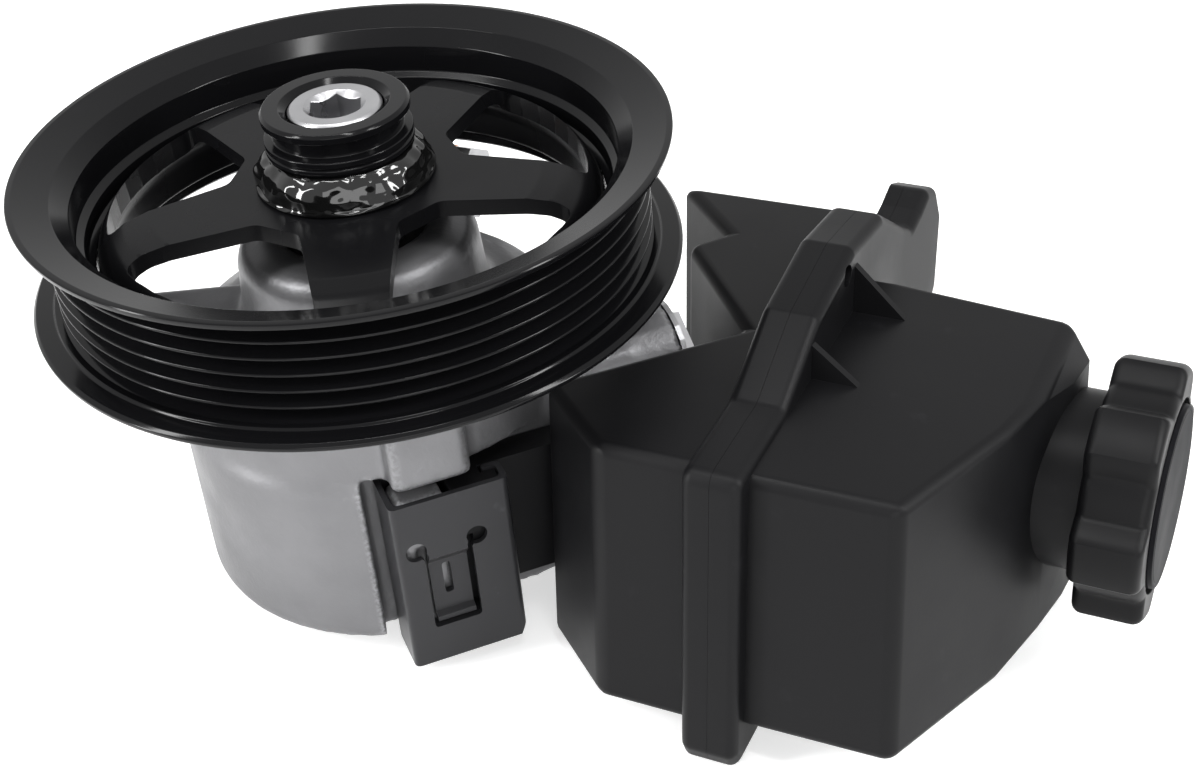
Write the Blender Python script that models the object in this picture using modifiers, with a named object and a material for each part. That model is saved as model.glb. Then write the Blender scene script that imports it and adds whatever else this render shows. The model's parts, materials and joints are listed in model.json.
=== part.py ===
"""Power steering pump: belt pulley, vane cartridge in a cast housing, moulded reservoir with a screw cap.

Every separate piece of the real pump is one closed object with its own name.
Lengths are in millimetres here and are turned into metres when a mesh is made.
"""
import math

import bmesh
import bpy
from mathutils import Matrix, Vector

# Start from an empty file
for old in list(bpy.data.objects):
    bpy.data.objects.remove(old, do_unlink=True)

MM = 0.001

# Frames: Z is the shaft axis, its zero is the flat rear end of the pump
RESERVOIR_TURN = -28.0
ATTACH_TURN = 18.5
TANK_LEAN = 0.138

# Clearances
FIT = 0.3
RUNNING = 0.4

# Round pieces
STEPS_LARGE = 48
STEPS = 36
STEPS_SMALL = 24

# Belt pulley, heights measured from the top face of the pressed spider
PULLEY_Z = 88.0
RIB_PITCH = 3.56
RIB_COUNT = 6
RIB_ROOT_R = 57.9
RIB_DEPTH = 3.2
RIB_TIP_R = RIB_ROOT_R + RIB_DEPTH
LIP_RISE = 5.5
LIP_R = RIB_TIP_R + LIP_RISE
LIP_Z = 7.46
FLANGE_RISE = 6.0
FLANGE_R = RIB_TIP_R + FLANGE_RISE
RIM_WALL = 5.7
SEAT_R = RIB_ROOT_R - RIM_WALL
SPIDER_THICK = 3.5
SPIDER_BOTTOM = -16.0
SPOKES = 5
SPOKE_ANGLE = -86.0
WINDOW_IN = 24.0
WINDOW_MARGIN = 3.4
WINDOW_OUT = SEAT_R - WINDOW_MARGIN
SPOKE_IN = 19.0
SPOKE_OUT = 13.5

# Hub and shaft
SHAFT_R = 9.5
SHAFT_END = 15.9
SHAFT_FOOT_R = 8.0
SHAFT_FOOT_Z = 18.0
HUB_R = 15.0
HUB_TOP = 16.4
HUB_FOOT = -8.0
HUB_SPIGOT_R = 13.3
HUB_NECK_R = 14.0
WELD_TOP = 7.2
WELD_R = 18.6
SOCKET_FLATS = 10.0

# Housing
BODY_R = 43.0
BORE_R = 31.0
BORE_TOP = 51.0
BUSH_R = 12.0
BUSH_TOP = 66.0
SEAL_R = 15.0
NOSE_TOP = 77.0
NOSE_R = 25.0
RING_GROOVE_R = 32.5
RING_GROOVE = (1.8, 4.0)
PAD_TOP = 60.0
PAD_HOLE_R = 3.4
POCKET_T = 34.5
POCKET_A = (-15.5, 26.5)
POCKET_TOP = 41.0

# Vane cartridge levels along the shaft
COVER_Z = (4.1, 10.0)
PRESSURE_Z = (16.0, 24.0)
CAM_Z = (24.3, 42.0)
ROTOR_Z = (24.6, 41.7)
THRUST_Z = (42.3, 50.7)
PLATE_R = BORE_R - FIT
CAM_LONG = 22.5
CAM_SHORT = 20.0
ROTOR_R = 18.5
VANES = 10
VANE_THICK = 1.6
SLOT_THICK = 2.2
VANE_FOOT_R = 11.2
SLOT_FOOT_R = 10.8
PIN_R = 1.5
PIN_AT = 26.5

# Flow valve, along the attach frame's first axis
VALVE_T = 20.5
VALVE_Z = 37.5
VALVE_R = 8.5
VALVE_BOSS_R = 13.6
VALVE_BORE = (31.0, 58.0)
SPRING_A = (31.4, 42.7)
SPOOL_A = (43.0, 54.0)
PLUG_A = (54.5, 58.3)
PLUG_HEAD = 62.0

# Suction inlet
INLET_T = 20.0
INLET_Z = 12.2
INLET_R = 10.3
INLET_BOSS_R = 12.2
INLET_FACE = 47.0

# Pressure outlet, along the reservoir frame's first axis
OUTLET_D = 56.0
OUTLET_Z = 55.0
OUTLET_FACE = -12.3
OUTLET_R = 9.0

# Clip
CLIP_T = 48.2
CLIP_THICK = 1.2
CLIP_A = 12.45
CLIP_Z = (-2.0, 39.5)
RAIL_T = 46.6

# Reservoir
TANK_Z = (-1.4, 55.0)
TANK_INNER_Z = (-3.6, 55.0)
TANK_SPREAD = 0.0014
TANK_SPREAD_FROM = 112.0
TANK_WALL = 2.5
TANK_ROUND = 2.4
SEAM_R = 90.5
FLANGE_HALF = 6.0
FLANGE_FACES = (SEAM_R - FLANGE_HALF, SEAM_R + FLANGE_HALF)
EAR_THICK = 3.3
EAR_FACE = SEAM_R - EAR_THICK
# How far each box stops short of the seam, inside the flange
BOX_STOP = 2.5
LEFT_BOX = [
    (SEAM_R - BOX_STOP, 71.0), (42.5, 70.0), (60.3, 53.2), (53.8, 45.9),
    (SEAM_R - 12.7, 19.0), (47.0, -11.5), (65.3, -27.4), (SEAM_R - BOX_STOP, -27.4),
]
RIGHT_BOX = [
    (SEAM_R + BOX_STOP, -27.4), (125.2, -27.1), (136.9, 1.9), (140.6, 18.1),
    (142.6, 29.6), (143.4, 41.6), (SEAM_R + 11.1, 45.5), (SEAM_R + BOX_STOP, 45.5),
]
TANK_END_INSIDE = 136.2
TANK_BROW = [(138.6, 55.6), (152.0, 55.6), (152.0, 34.2)]
FLANGE_OUTLINE = [
    (-30.0, -9.4), (68.0, -9.4), (74.0, 1.0), (96.3, 25.0), (96.8, 43.0), (92.0, 51.3), (85.0, 54.3),
    (79.0, 52.4), (73.0, 51.5), (67.0, 55.0), (50.0, 66.5), (31.0, 69.3), (10.0, 66.0), (-8.0, 57.0),
    (-32.0, 57.0), (-32.0, -5.5),
]

# Filler neck and cap, along the reservoir frame's first axis
CAP_D = 27.0
CAP_Z = 27.5
CAP_BACK = 149.0
CAP_DEPTH = 14.2
CAP_LOBE_R = 26.4
CAP_DIP_R = 22.4
CAP_LOBES = 6
CAP_LOBE_PHASE = 30.0
CAP_RECESS_R = 19.9
CAP_RECESS = 1.4
CAP_DISC_R = 18.7
CAP_DISC_PROUD = 1.0
NECK_R = 18.4
NECK_ROOT = 137.0
NECK_ROOT_BORE_R = 10.5
NECK_BORE_R = 15.2
NECK_END = 155.0
STICK_END = 104.0

# Return nipple on the inner half, along the reservoir frame's second axis
NIPPLE_AT = (70.0, 0.0, 22.0)
NIPPLE_R = 5.0
NIPPLE_END = 92.0

COLLECTION = bpy.data.collections.new("power_steering_pump")
bpy.context.scene.collection.children.link(COLLECTION)


def make_material(name, colour, metallic, roughness):
    """One plain Principled material."""
    material = bpy.data.materials.new(name)
    material.use_nodes = True
    shader = material.node_tree.nodes["Principled BSDF"]
    shader.inputs["Base Color"].default_value = (*colour, 1.0)
    shader.inputs["Metallic"].default_value = metallic
    shader.inputs["Roughness"].default_value = roughness
    material.diffuse_color = (*colour, 1.0)
    return material


GLOSS_BLACK = make_material("gloss_black_paint", (0.012, 0.012, 0.013), 0.0, 0.18)
BLACK_PLASTIC = make_material("black_plastic", (0.022, 0.022, 0.024), 0.0, 0.45)
GREY_CASTING = make_material("grey_casting", (0.33, 0.33, 0.34), 0.6, 0.45)
DARK_STEEL = make_material("dark_clip_steel", (0.10, 0.10, 0.11), 0.9, 0.4)
BRIGHT_STEEL = make_material("bright_steel", (0.62, 0.62, 0.63), 1.0, 0.25)
GROUND_STEEL = make_material("ground_steel", (0.45, 0.45, 0.46), 1.0, 0.35)
COPPER = make_material("copper", (0.72, 0.34, 0.16), 1.0, 0.3)
BRONZE = make_material("bronze", (0.55, 0.38, 0.18), 1.0, 0.35)
SEAL_RUBBER = make_material("seal_rubber", (0.02, 0.02, 0.02), 0.0, 0.7)


def clean(mesh):
    """Join doubled points and turn every face outward."""
    work = bmesh.new()
    work.from_mesh(mesh)
    bmesh.ops.remove_doubles(work, verts=work.verts, dist=0.000004)
    bmesh.ops.dissolve_degenerate(work, edges=work.edges, dist=0.000001)
    bmesh.ops.recalc_face_normals(work, faces=work.faces)
    work.to_mesh(mesh)
    work.free()


def flatten(mesh):
    """Merge the triangles of each flat face into one face."""
    work = bmesh.new()
    work.from_mesh(mesh)
    bmesh.ops.dissolve_limit(work, angle_limit=0.0005, verts=work.verts, edges=work.edges)
    work.to_mesh(mesh)
    work.free()


def link(name, data):
    """New object in the part's collection."""
    made = bpy.data.objects.new(name, data)
    COLLECTION.objects.link(made)
    return made


def bake(made):
    """Turn an object with its modifiers, or a curve, into a plain mesh object."""
    graph = bpy.context.evaluated_depsgraph_get()
    mesh = bpy.data.meshes.new_from_object(made.evaluated_get(graph))
    name = made.name
    bpy.data.objects.remove(made, do_unlink=True)
    clean(mesh)
    mesh.name = name
    return link(name, mesh)


def moved(made, matrix):
    """Move the mesh itself, so that the object keeps a plain origin."""
    made.data.transform(matrix)
    if matrix.determinant() < 0:
        made.data.flip_normals()
    return made


def shift(x, y, z):
    """Move by millimetres."""
    return Matrix.Translation(Vector((x, y, z)) * MM)


def turn_z(degrees):
    """Turn about the shaft axis."""
    return Matrix.Rotation(math.radians(degrees), 4, "Z")


ATTACH = turn_z(ATTACH_TURN) @ Matrix.Scale(-1, 4, (0, 1, 0))
RESERVOIR = turn_z(RESERVOIR_TURN)
LEAN = Matrix(((1, 0, 0, 0), (0, 1, TANK_LEAN, -TANK_LEAN * TANK_Z[1] * MM), (0, 0, 1, 0), (0, 0, 0, 1)))
ALONG_X = Matrix.Rotation(math.radians(90), 4, "Y")
# UPRIGHT stands a plate's outline in the x-z plane, FACE_ON in the y-z plane; SWAP_ENDS trades x and z
UPRIGHT = Matrix(((1, 0, 0, 0), (0, 0, 1, 0), (0, 1, 0, 0), (0, 0, 0, 1)))
FACE_ON = Matrix(((0, 0, 1, 0), (1, 0, 0, 0), (0, 1, 0, 0), (0, 0, 0, 1)))
SWAP_ENDS = Matrix(((0, 0, 1, 0), (0, 1, 0, 0), (1, 0, 0, 0), (0, 0, 0, 1)))


def lathe(name, profile, steps=STEPS):
    """Solid of revolution about Z from a closed profile of (radius, height), outer side top to bottom."""
    mesh = bpy.data.meshes.new(name)
    points = [(x * MM, 0, z * MM) for x, z in profile]
    edges = [(i, (i + 1) % len(points)) for i in range(len(points))]
    if profile[0][0] == 0 and profile[-1][0] == 0:
        edges.pop()
    mesh.from_pydata(points, edges, [])
    made = link(name, mesh)
    screw = made.modifiers.new("Screw", "SCREW")
    screw.axis = "Z"
    screw.angle = math.radians(360)
    screw.steps = steps
    screw.render_steps = steps
    screw.use_merge_vertices = True
    screw.merge_threshold = 0.00001
    made = bake(made)
    flatten(made.data)
    return made


def plate(name, outlines, z0, z1):
    """Flat piece between two heights; outlines after the first are holes, or further islands."""
    curve = bpy.data.curves.new(name, "CURVE")
    curve.dimensions = "2D"
    curve.fill_mode = "BOTH"
    curve.extrude = (z1 - z0) * MM / 2
    for outline in outlines:
        spline = curve.splines.new("POLY")
        spline.points.add(len(outline) - 1)
        for point, (x, y) in zip(spline.points, outline):
            point.co = (x * MM, y * MM, 0, 1)
        spline.use_cyclic_u = True
    made = bake(link(name, curve))
    flatten(made.data)
    return moved(made, shift(0, 0, (z0 + z1) / 2))


def block(name, x, y, z):
    """Box from three ranges."""
    return plate(name, [[(x[0], y[0]), (x[1], y[0]), (x[1], y[1]), (x[0], y[1])]], z[0], z[1])


def ring_points(radius, steps=STEPS, centre=(0, 0), squash=1.0, start=0.0):
    """Points of a circle or an ellipse."""
    found = []
    for i in range(steps):
        angle = math.radians(start) + math.tau * i / steps
        found.append((centre[0] + radius * math.cos(angle), centre[1] + radius * squash * math.sin(angle)))
    return found


def rod(name, radius, x0, x1, steps=STEPS_SMALL):
    """Cylinder along X, centred on the axis."""
    return moved(plate(name, [ring_points(radius, steps)], x0, x1), ALONG_X)


def polar(radius, degrees):
    """Point at a radius and an angle."""
    return (radius * math.cos(math.radians(degrees)), radius * math.sin(math.radians(degrees)))


def rounded(points, radius, steps=3):
    """Outline with every corner replaced by an arc."""
    found = []
    for i, here in enumerate(points):
        corner = Vector(here)
        before = (Vector(points[i - 1]) - corner)
        after = (Vector(points[(i + 1) % len(points)]) - corner)
        half = before.angle(after) / 2
        reach = min(radius / math.tan(half), before.length * 0.45, after.length * 0.45)
        first = corner + before.normalized() * reach
        last = corner + after.normalized() * reach
        for k in range(steps + 1):
            s = k / steps
            point = first * (1 - s) ** 2 + corner * 2 * s * (1 - s) + last * s ** 2
            found.append((point.x, point.y))
    return found


def inset(points, gap):
    """Outline moved inward by a gap; the points run anticlockwise."""
    found = []
    for i, here in enumerate(points):
        corner = Vector(here)
        into = (corner - Vector(points[i - 1])).normalized()
        out = (Vector(points[(i + 1) % len(points)]) - corner).normalized()
        side_in = Vector((-into.y, into.x))
        side_out = Vector((-out.y, out.x))
        scale = gap / (1 + side_in.dot(side_out))
        point = corner + (side_in + side_out) * scale
        found.append((point.x, point.y))
    return found


def combine(made, other, operation):
    """Boolean with another object, which is used up."""
    tool = made.modifiers.new("Boolean", "BOOLEAN")
    tool.solver = "EXACT"
    tool.operation = operation
    tool.object = other
    result = bake(made)
    bpy.data.objects.remove(other, do_unlink=True)
    return result


def join(made, *others):
    """Union with each of the others in turn."""
    for other in others:
        made = combine(made, other, "UNION")
    return made


def cut(made, *others):
    """Take each of the others away in turn."""
    for other in others:
        made = combine(made, other, "DIFFERENCE")
    return made


def soften(made, width, segments=2):
    """Round the sharp edges."""
    bevel = made.modifiers.new("Bevel", "BEVEL")
    bevel.limit_method = "ANGLE"
    bevel.angle_limit = math.radians(32)
    bevel.width = width * MM
    bevel.segments = segments
    return bake(made)


def tube(name, points, radius, closed=False):
    """Round wire through points in millimetres."""
    curve = bpy.data.curves.new(name, "CURVE")
    curve.dimensions = "3D"
    curve.fill_mode = "FULL"
    curve.bevel_depth = radius * MM
    curve.bevel_resolution = 1
    curve.use_fill_caps = not closed
    spline = curve.splines.new("POLY")
    spline.points.add(len(points) - 1)
    for point, place in zip(spline.points, points):
        point.co = (place[0] * MM, place[1] * MM, place[2] * MM, 1)
    spline.use_cyclic_u = closed
    return bake(link(name, curve))


def coil(name, radius, wire, z0, z1, turns, steps=14):
    """Helical spring along Z between two end heights."""
    low = z0 + wire
    high = z1 - wire
    count = round(turns * steps)
    points = []
    for i in range(count + 1):
        angle = math.tau * i / steps
        height = low + (high - low) * i / count
        points.append((radius * math.cos(angle), radius * math.sin(angle), height))
    return tube(name, points, wire)


def o_ring(name, radius, wire, height, steps=STEPS_SMALL):
    """Rubber ring of round section about Z."""
    section = [(radius + wire * math.sin(math.tau * i / 8), height + wire * math.cos(math.tau * i / 8))
               for i in range(8)]
    return lathe(name, section, steps)


def finish(made, material, origin=(0, 0, 0), smooth=None):
    """Material, shading and origin of a finished piece."""
    made.data.materials.clear()
    made.data.materials.append(material)
    place = Vector(origin)
    made.data.transform(Matrix.Translation(-place))
    made.location = place
    made.data.validate()
    if smooth is not None:
        for face in made.data.polygons:
            face.use_smooth = True
        made.data.set_sharp_from_angle(angle=math.radians(smooth))
    return made


def pulley_rim():
    """Ribbed belt rim with a lip on both sides and a stepped inner wall."""
    top = [(LIP_R - 1.4, LIP_Z), (LIP_R, LIP_Z), (LIP_R - 0.4, 6.1), (RIB_TIP_R + 0.3, 3.7)]
    ribs = []
    for k in range(RIB_COUNT):
        root = RIB_PITCH * (0.5 - k)
        ribs.append((RIB_TIP_R, root + RIB_PITCH * 0.42))
        ribs.append((RIB_ROOT_R, root + RIB_PITCH * 0.08))
        ribs.append((RIB_ROOT_R, root - RIB_PITCH * 0.08))
        ribs.append((RIB_TIP_R, root - RIB_PITCH * 0.42))
    foot = [(FLANGE_R - 0.7, -18.1), (FLANGE_R, -18.8), (FLANGE_R - 0.2, -19.8), (SEAT_R + 0.8, -20.0)]
    inner = [
        (SEAT_R, -19.2), (SEAT_R, -9.0), (SEAT_R + 1.4, -8.0), (SEAT_R + 1.4, -5.0), (SEAT_R + 3.0, -4.0),
        (SEAT_R + 3.0, 2.0), (RIB_ROOT_R + 0.5, 5.2),
    ]
    profile = top + ribs + foot + inner
    rim = lathe("pulley_rim", [(x, z + PULLEY_Z) for x, z in profile], STEPS_LARGE)
    return finish(rim, GLOSS_BLACK, smooth=25)


def window_outline(k):
    """Opening between two spokes, corners rounded."""
    left = SPOKE_ANGLE + 72 * k
    right = left + 72
    points = []
    for radius, width in ((WINDOW_IN, SPOKE_IN), (WINDOW_OUT, SPOKE_OUT)):
        bite = math.degrees(math.asin(width / 2 / radius))
        points.append((radius, left + bite, right - bite))
    (near, near_left, near_right), (far, far_left, far_right) = points
    outline = [polar(near, near_left), polar(far, far_left)]
    for s in (0.2, 0.4, 0.6, 0.8):
        outline.append(polar(far, far_left + (far_right - far_left) * s))
    outline.append(polar(far, far_right))
    outline.append(polar(near, near_right))
    return rounded(outline, 3.5, 3)


def pulley_spider():
    """Pressed dish with five windows and a skirt that carries the rim."""
    outer = SEAT_R - FIT
    inner = outer - 2.4
    profile = [
        (HUB_SPIGOT_R + FIT, 0), (SEAT_R - 12.2, 0), (SEAT_R - 7.2, -0.8), (SEAT_R - 3.2, -3),
        (SEAT_R - 0.9, -6.5), (outer, -10), (outer, SPIDER_BOTTOM), (inner, SPIDER_BOTTOM), (inner, -10),
        (SEAT_R - 3.3, -7.7), (SEAT_R - 5.2, -5.4), (SEAT_R - 8.2, -4), (SEAT_R - 12.2, -SPIDER_THICK),
        (HUB_SPIGOT_R + FIT, -SPIDER_THICK),
    ]
    spider = lathe("pulley_spider", [(x, z + PULLEY_Z) for x, z in profile], STEPS_LARGE)
    windows = plate("windows", [window_outline(k) for k in range(SPOKES)], PULLEY_Z - 9, PULLEY_Z + 5)
    spider = cut(spider, windows)
    return finish(spider, GLOSS_BLACK, smooth=30)


def pulley_hub():
    """Turned hub with a puller groove, bored for the shaft."""
    bore = SHAFT_R + FIT
    profile = [
        (11.2, HUB_TOP), (14.4, HUB_TOP), (HUB_R, HUB_TOP - 0.6), (HUB_R, 14.4), (13.2, 14.0), (13.2, 10.8),
        (HUB_R, 10.5), (HUB_R, 9.3), (14.5, 9.0), (HUB_R, 8.7), (HUB_R, WELD_TOP + 0.6),
        (HUB_NECK_R, WELD_TOP + 0.3), (HUB_NECK_R, FIT), (HUB_SPIGOT_R, FIT), (HUB_SPIGOT_R, HUB_FOOT),
        (bore, HUB_FOOT), (bore, HUB_TOP - 1.3),
    ]
    return finish(lathe("pulley_hub", [(x, z + PULLEY_Z) for x, z in profile]), GLOSS_BLACK, smooth=30)


def hub_weld():
    """Weld bead that joins the hub to the spider."""
    inner = HUB_NECK_R + FIT
    profile = [
        (inner, WELD_TOP), (inner + 1.3, WELD_TOP - 0.1), (WELD_R - 1.4, 5.6), (WELD_R - 0.3, 3.2),
        (WELD_R, 1.2), (WELD_R - 0.4, FIT + 0.05), (inner, FIT + 0.05),
    ]
    return finish(lathe("hub_weld", [(x, z + PULLEY_Z) for x, z in profile]), GLOSS_BLACK, smooth=50)


def spline_points(radius, teeth=12, tooth=1.0):
    """Straight-sided spline outline."""
    found = []
    for k in range(teeth):
        step = 360 / teeth
        for share, reach in ((0.0, 0), (0.12, tooth), (0.42, tooth), (0.54, 0)):
            found.append(polar(radius + reach, (k + share) * step))
    return found


def drive_shaft():
    """Stepped shaft with a hexagon socket in its front end and a spline for the rotor."""
    top = PULLEY_Z + SHAFT_END
    profile = [
        (0, top), (8.8, top), (SHAFT_R, top - 0.7), (SHAFT_R, 52.2), (SHAFT_FOOT_R, 51.4),
        (SHAFT_FOOT_R, 23.8), (7.2, 23.8), (7.2, 22.4), (SHAFT_FOOT_R, 22.4),
        (SHAFT_FOOT_R, SHAFT_FOOT_Z + 1), (7.0, SHAFT_FOOT_Z), (0, SHAFT_FOOT_Z),
    ]
    shaft = lathe("drive_shaft", profile, STEPS_SMALL)
    splines = plate("splines", [spline_points(7.7)], ROTOR_Z[0], ROTOR_Z[1])
    shaft = join(shaft, splines)
    across = SOCKET_FLATS / math.sqrt(3)
    socket = plate("socket", [ring_points(across, 6, start=90)], top - 9, top + 1)
    mouth = lathe("mouth", [(0, top + 1), (6.9, top + 1), (6.3, top), (4.6, top - 1.7), (0, top - 1.7)], 24)
    return finish(cut(shaft, socket, mouth), BRIGHT_STEEL, smooth=30)


def rotor_outline():
    """Circle with ten radial slots."""
    found = []
    half = SLOT_THICK / 2
    bite = math.degrees(math.asin(half / ROTOR_R))
    for k in range(VANES):
        angle = 360 * k / VANES
        ahead = Vector(polar(1, angle))
        side = Vector((-ahead.y, ahead.x))
        foot = ahead * SLOT_FOOT_R + side * half
        found.append((foot.x, foot.y))
        for s in range(5):
            found.append(polar(ROTOR_R, angle + bite + (36 - 2 * bite) * s / 4))
        after = Vector(polar(1, angle + 36))
        side = Vector((-after.y, after.x))
        foot = after * SLOT_FOOT_R - side * half
        found.append((foot.x, foot.y))
    return found


def rotor():
    """Slotted rotor with a splined bore."""
    made = plate("rotor", [rotor_outline(), spline_points(7.7 + FIT)], *ROTOR_Z)
    return finish(made, GROUND_STEEL)


def vane(k):
    """One sliding vane, drawn in to the smallest radius of the cam ring."""
    half = VANE_THICK / 2
    made = block("vane_%02d" % (k + 1), (VANE_FOOT_R, CAM_SHORT - RUNNING), (-half, half),
                 (ROTOR_Z[0] + 0.1, ROTOR_Z[1] - 0.1))
    moved(made, turn_z(360 * k / VANES))
    return finish(made, GROUND_STEEL)


def split_ring(name, inner, outer, z0, z1, gap_deg, steps=30):
    """Snap ring with a gap."""
    span = 360 - gap_deg
    outline = [polar(outer, gap_deg / 2 + span * i / steps) for i in range(steps + 1)]
    outline += [polar(inner, gap_deg / 2 + span * i / steps) for i in range(steps, -1, -1)]
    return finish(plate(name, [outline], z0, z1), GROUND_STEEL)


def kidney(radius, middle, half_span, width):
    """Kidney port outline."""
    outline = [polar(radius + width / 2, middle - half_span + half_span * i / 3) for i in range(7)]
    outline += [polar(radius - width / 2, middle + half_span - half_span * i / 3) for i in range(7)]
    return outline


def cartridge_plate(name, levels, bore):
    """Side plate of the cartridge with ports and holes for the pins."""
    outlines = [ring_points(PLATE_R), ring_points(bore, STEPS_SMALL)]
    for side in (0, 180):
        outlines.append(ring_points(PIN_R + FIT, 12, polar(PIN_AT, side)))
        outlines.append(kidney(18.0, side + 30, 15, 3.4))
        outlines.append(kidney(18.0, side - 30, 15, 3.4))
    return plate(name, outlines, *levels)


def cartridge():
    """Rotor, vanes, cam ring, side plates, pins, springs and the rear cover."""
    rotor()
    for k in range(VANES):
        vane(k)
    split_ring("rotor_ring", 7.5, 10.2, 22.6, 23.6, 40, 20)
    holes = [ring_points(PIN_R + FIT, 12, polar(PIN_AT, side)) for side in (0, 180)]
    oval = ring_points(CAM_LONG, STEPS, squash=CAM_SHORT / CAM_LONG)
    finish(plate("cam_ring", [ring_points(PLATE_R), oval] + holes, *CAM_Z), GROUND_STEEL)
    pressure = cartridge_plate("pressure_plate", PRESSURE_Z, SHAFT_FOOT_R + FIT)
    pressure = cut(pressure, plate("recess", [ring_points(11.5, STEPS_SMALL)], 21.0, 25.0))
    finish(pressure, GROUND_STEEL)
    finish(cartridge_plate("thrust_plate", THRUST_Z, 9.1), GROUND_STEEL)
    for number, side in ((1, 0), (2, 180)):
        pin = plate("dowel_pin_%d" % number, [ring_points(PIN_R, 12, polar(PIN_AT, side))], 17.0, 50.0)
        finish(pin, GROUND_STEEL, smooth=40)
    spring = coil("plate_spring", 18.0, 0.8, COVER_Z[1] + FIT, PRESSURE_Z[0] - FIT, 1.7)
    finish(spring, GROUND_STEEL, smooth=60)
    cover = [
        (0, COVER_Z[1]), (PLATE_R, COVER_Z[1]), (PLATE_R, 8.9), (28.5, 8.9), (28.5, 5.7), (PLATE_R, 5.7),
        (PLATE_R, COVER_Z[0]), (15.0, COVER_Z[0]), (13.0, 3.2), (13.0, 0), (0, 0),
    ]
    finish(lathe("end_cover", cover), GREY_CASTING, smooth=30)
    finish(o_ring("end_cover_o_ring", 29.85, 0.95, 7.3, STEPS), SEAL_RUBBER, smooth=60)
    low, high = RING_GROOVE
    split_ring("end_retaining_ring", 28.5, RING_GROOVE_R - FIT, low + FIT, high - FIT, 24, 36)
    bush = [(SHAFT_R + FIT, 65.0), (BUSH_R - FIT, 65.0), (BUSH_R - FIT, 51.5), (SHAFT_R + FIT, 51.5)]
    finish(lathe("shaft_bush", bush, STEPS_SMALL), BRONZE, smooth=30)
    seal = [(SHAFT_R + FIT, 73.0), (SEAL_R - FIT, 73.0), (SEAL_R - FIT, 67.0), (SHAFT_R + FIT, 67.0)]
    finish(lathe("shaft_seal", seal, STEPS_SMALL), SEAL_RUBBER, smooth=30)


def pad(angle, reach, half):
    """Mounting lug that stands out from the body, with its flat face towards the pulley."""
    lug = soften(block("pad", (24, reach), (-half, half), (34, PAD_TOP)), 2.0, 1)
    return moved(lug, turn_z(angle))


def housing_solid():
    """Outside of the casting before its holes are cut."""
    profile = [
        (0, NOSE_TOP), (NOSE_R - 5, NOSE_TOP), (NOSE_R - 1.6, NOSE_TOP - 1.6), (NOSE_R, NOSE_TOP - 4.5),
        (NOSE_R + 1, 60.5), (28.5, 57.5), (34.0, 56.3), (BODY_R - 4.4, 54.2), (BODY_R - 2, 50.5),
        (BODY_R - 1.4, 41.5), (BODY_R, 38.5), (BODY_R, 2.8), (BODY_R - 0.8, 0.8), (BODY_R - 2.8, 0), (0, 0),
    ]
    body = lathe("pump_housing", profile, STEPS_LARGE)
    valve = moved(rod("valve boss", VALVE_BOSS_R, 0, VALVE_BORE[1]), shift(0, VALVE_T, VALVE_Z))
    valve_block = soften(block("valve block", (4, 51), (-11, 31), (25.5, 49)), 4.0, 2)
    inlet = moved(rod("inlet boss", INLET_BOSS_R, 14, INLET_FACE), shift(0, INLET_T, INLET_Z))
    clip_boss = soften(block("clip boss", (-10.3, 6.2), (20, 46), (POCKET_TOP - 9, PAD_TOP)), 1.2, 1)
    outlet = moved(rod("outlet boss", OUTLET_R, -34, OUTLET_FACE, 24), shift(0, OUTLET_D, OUTLET_Z))
    arm = soften(block("outlet arm", (-31, -13.5), (24, OUTLET_D + 1), (45, 61)), 2.0, 1)
    for piece in (valve, valve_block, inlet, clip_boss):
        moved(piece, ATTACH)
    for piece in (outlet, arm):
        moved(piece, RESERVOIR)
    return join(body, valve_block, valve, inlet, clip_boss, arm, outlet, pad(180, 49, 10), pad(104, 49, 10))


def housing_cuts():
    """Bore, bush and seal seats, ring groove, valve and port holes, clip pocket."""
    core = [
        (0, 79), (SEAL_R, 79), (SEAL_R, BUSH_TOP), (BUSH_R, BUSH_TOP), (BUSH_R, BORE_TOP), (BORE_R, BORE_TOP),
        (BORE_R, RING_GROOVE[1]), (RING_GROOVE_R, RING_GROOVE[1]), (RING_GROOVE_R, RING_GROOVE[0]),
        (BORE_R, RING_GROOVE[0]), (BORE_R, -2), (0, -2),
    ]
    attach = [
        block("pocket", POCKET_A, (POCKET_T, 60), (-3, POCKET_TOP)),
        moved(rod("valve bore", VALVE_R, VALVE_BORE[0], VALVE_BORE[1] + 4), shift(0, VALVE_T, VALVE_Z)),
        moved(rod("inlet bore", INLET_R, 38.5, INLET_FACE + 4), shift(0, INLET_T, INLET_Z)),
        moved(rod("inlet passage", 5.0, 20, 40, 16), shift(0, INLET_T, INLET_Z)),
        plate("clip boss hole", [ring_points(PAD_HOLE_R, 16, (-2.0, 38.0))], 46, PAD_TOP + 3),
    ]
    for piece in attach:
        moved(piece, ATTACH)
    outlet = moved(rod("outlet bore", 4.7, -27, OUTLET_FACE + 3, 16), shift(0, OUTLET_D, OUTLET_Z))
    moved(outlet, RESERVOIR)
    side = [moved(plate("pad hole", [ring_points(PAD_HOLE_R, 16, (43, 0))], 44, PAD_TOP + 3), turn_z(angle))
            for angle in (180, 104)]
    small = moved(rod("small hole", 2.0, 37, 46, 16), turn_z(-138) @ shift(0, 0, 43.5))
    return [lathe("core", core, STEPS)] + attach + [outlet] + side + [small]


def pump_housing():
    """Casting with the rail that the clip holds."""
    body = cut(housing_solid(), *housing_cuts())
    web = block("rail web", (-7.5, -0.6), (POCKET_T - 1.2, RAIL_T - 4), (0.5, 39))
    head = block("rail head", (-10.9, -0.6), (38.0, RAIL_T), (0.5, 39))
    rail = cut(join(web, head), block("notch", (-8.0, 0), (44.2, 50), (6.5, 27)))
    body = join(body, moved(rail, ATTACH))
    return finish(body, GREY_CASTING, smooth=28)


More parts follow.
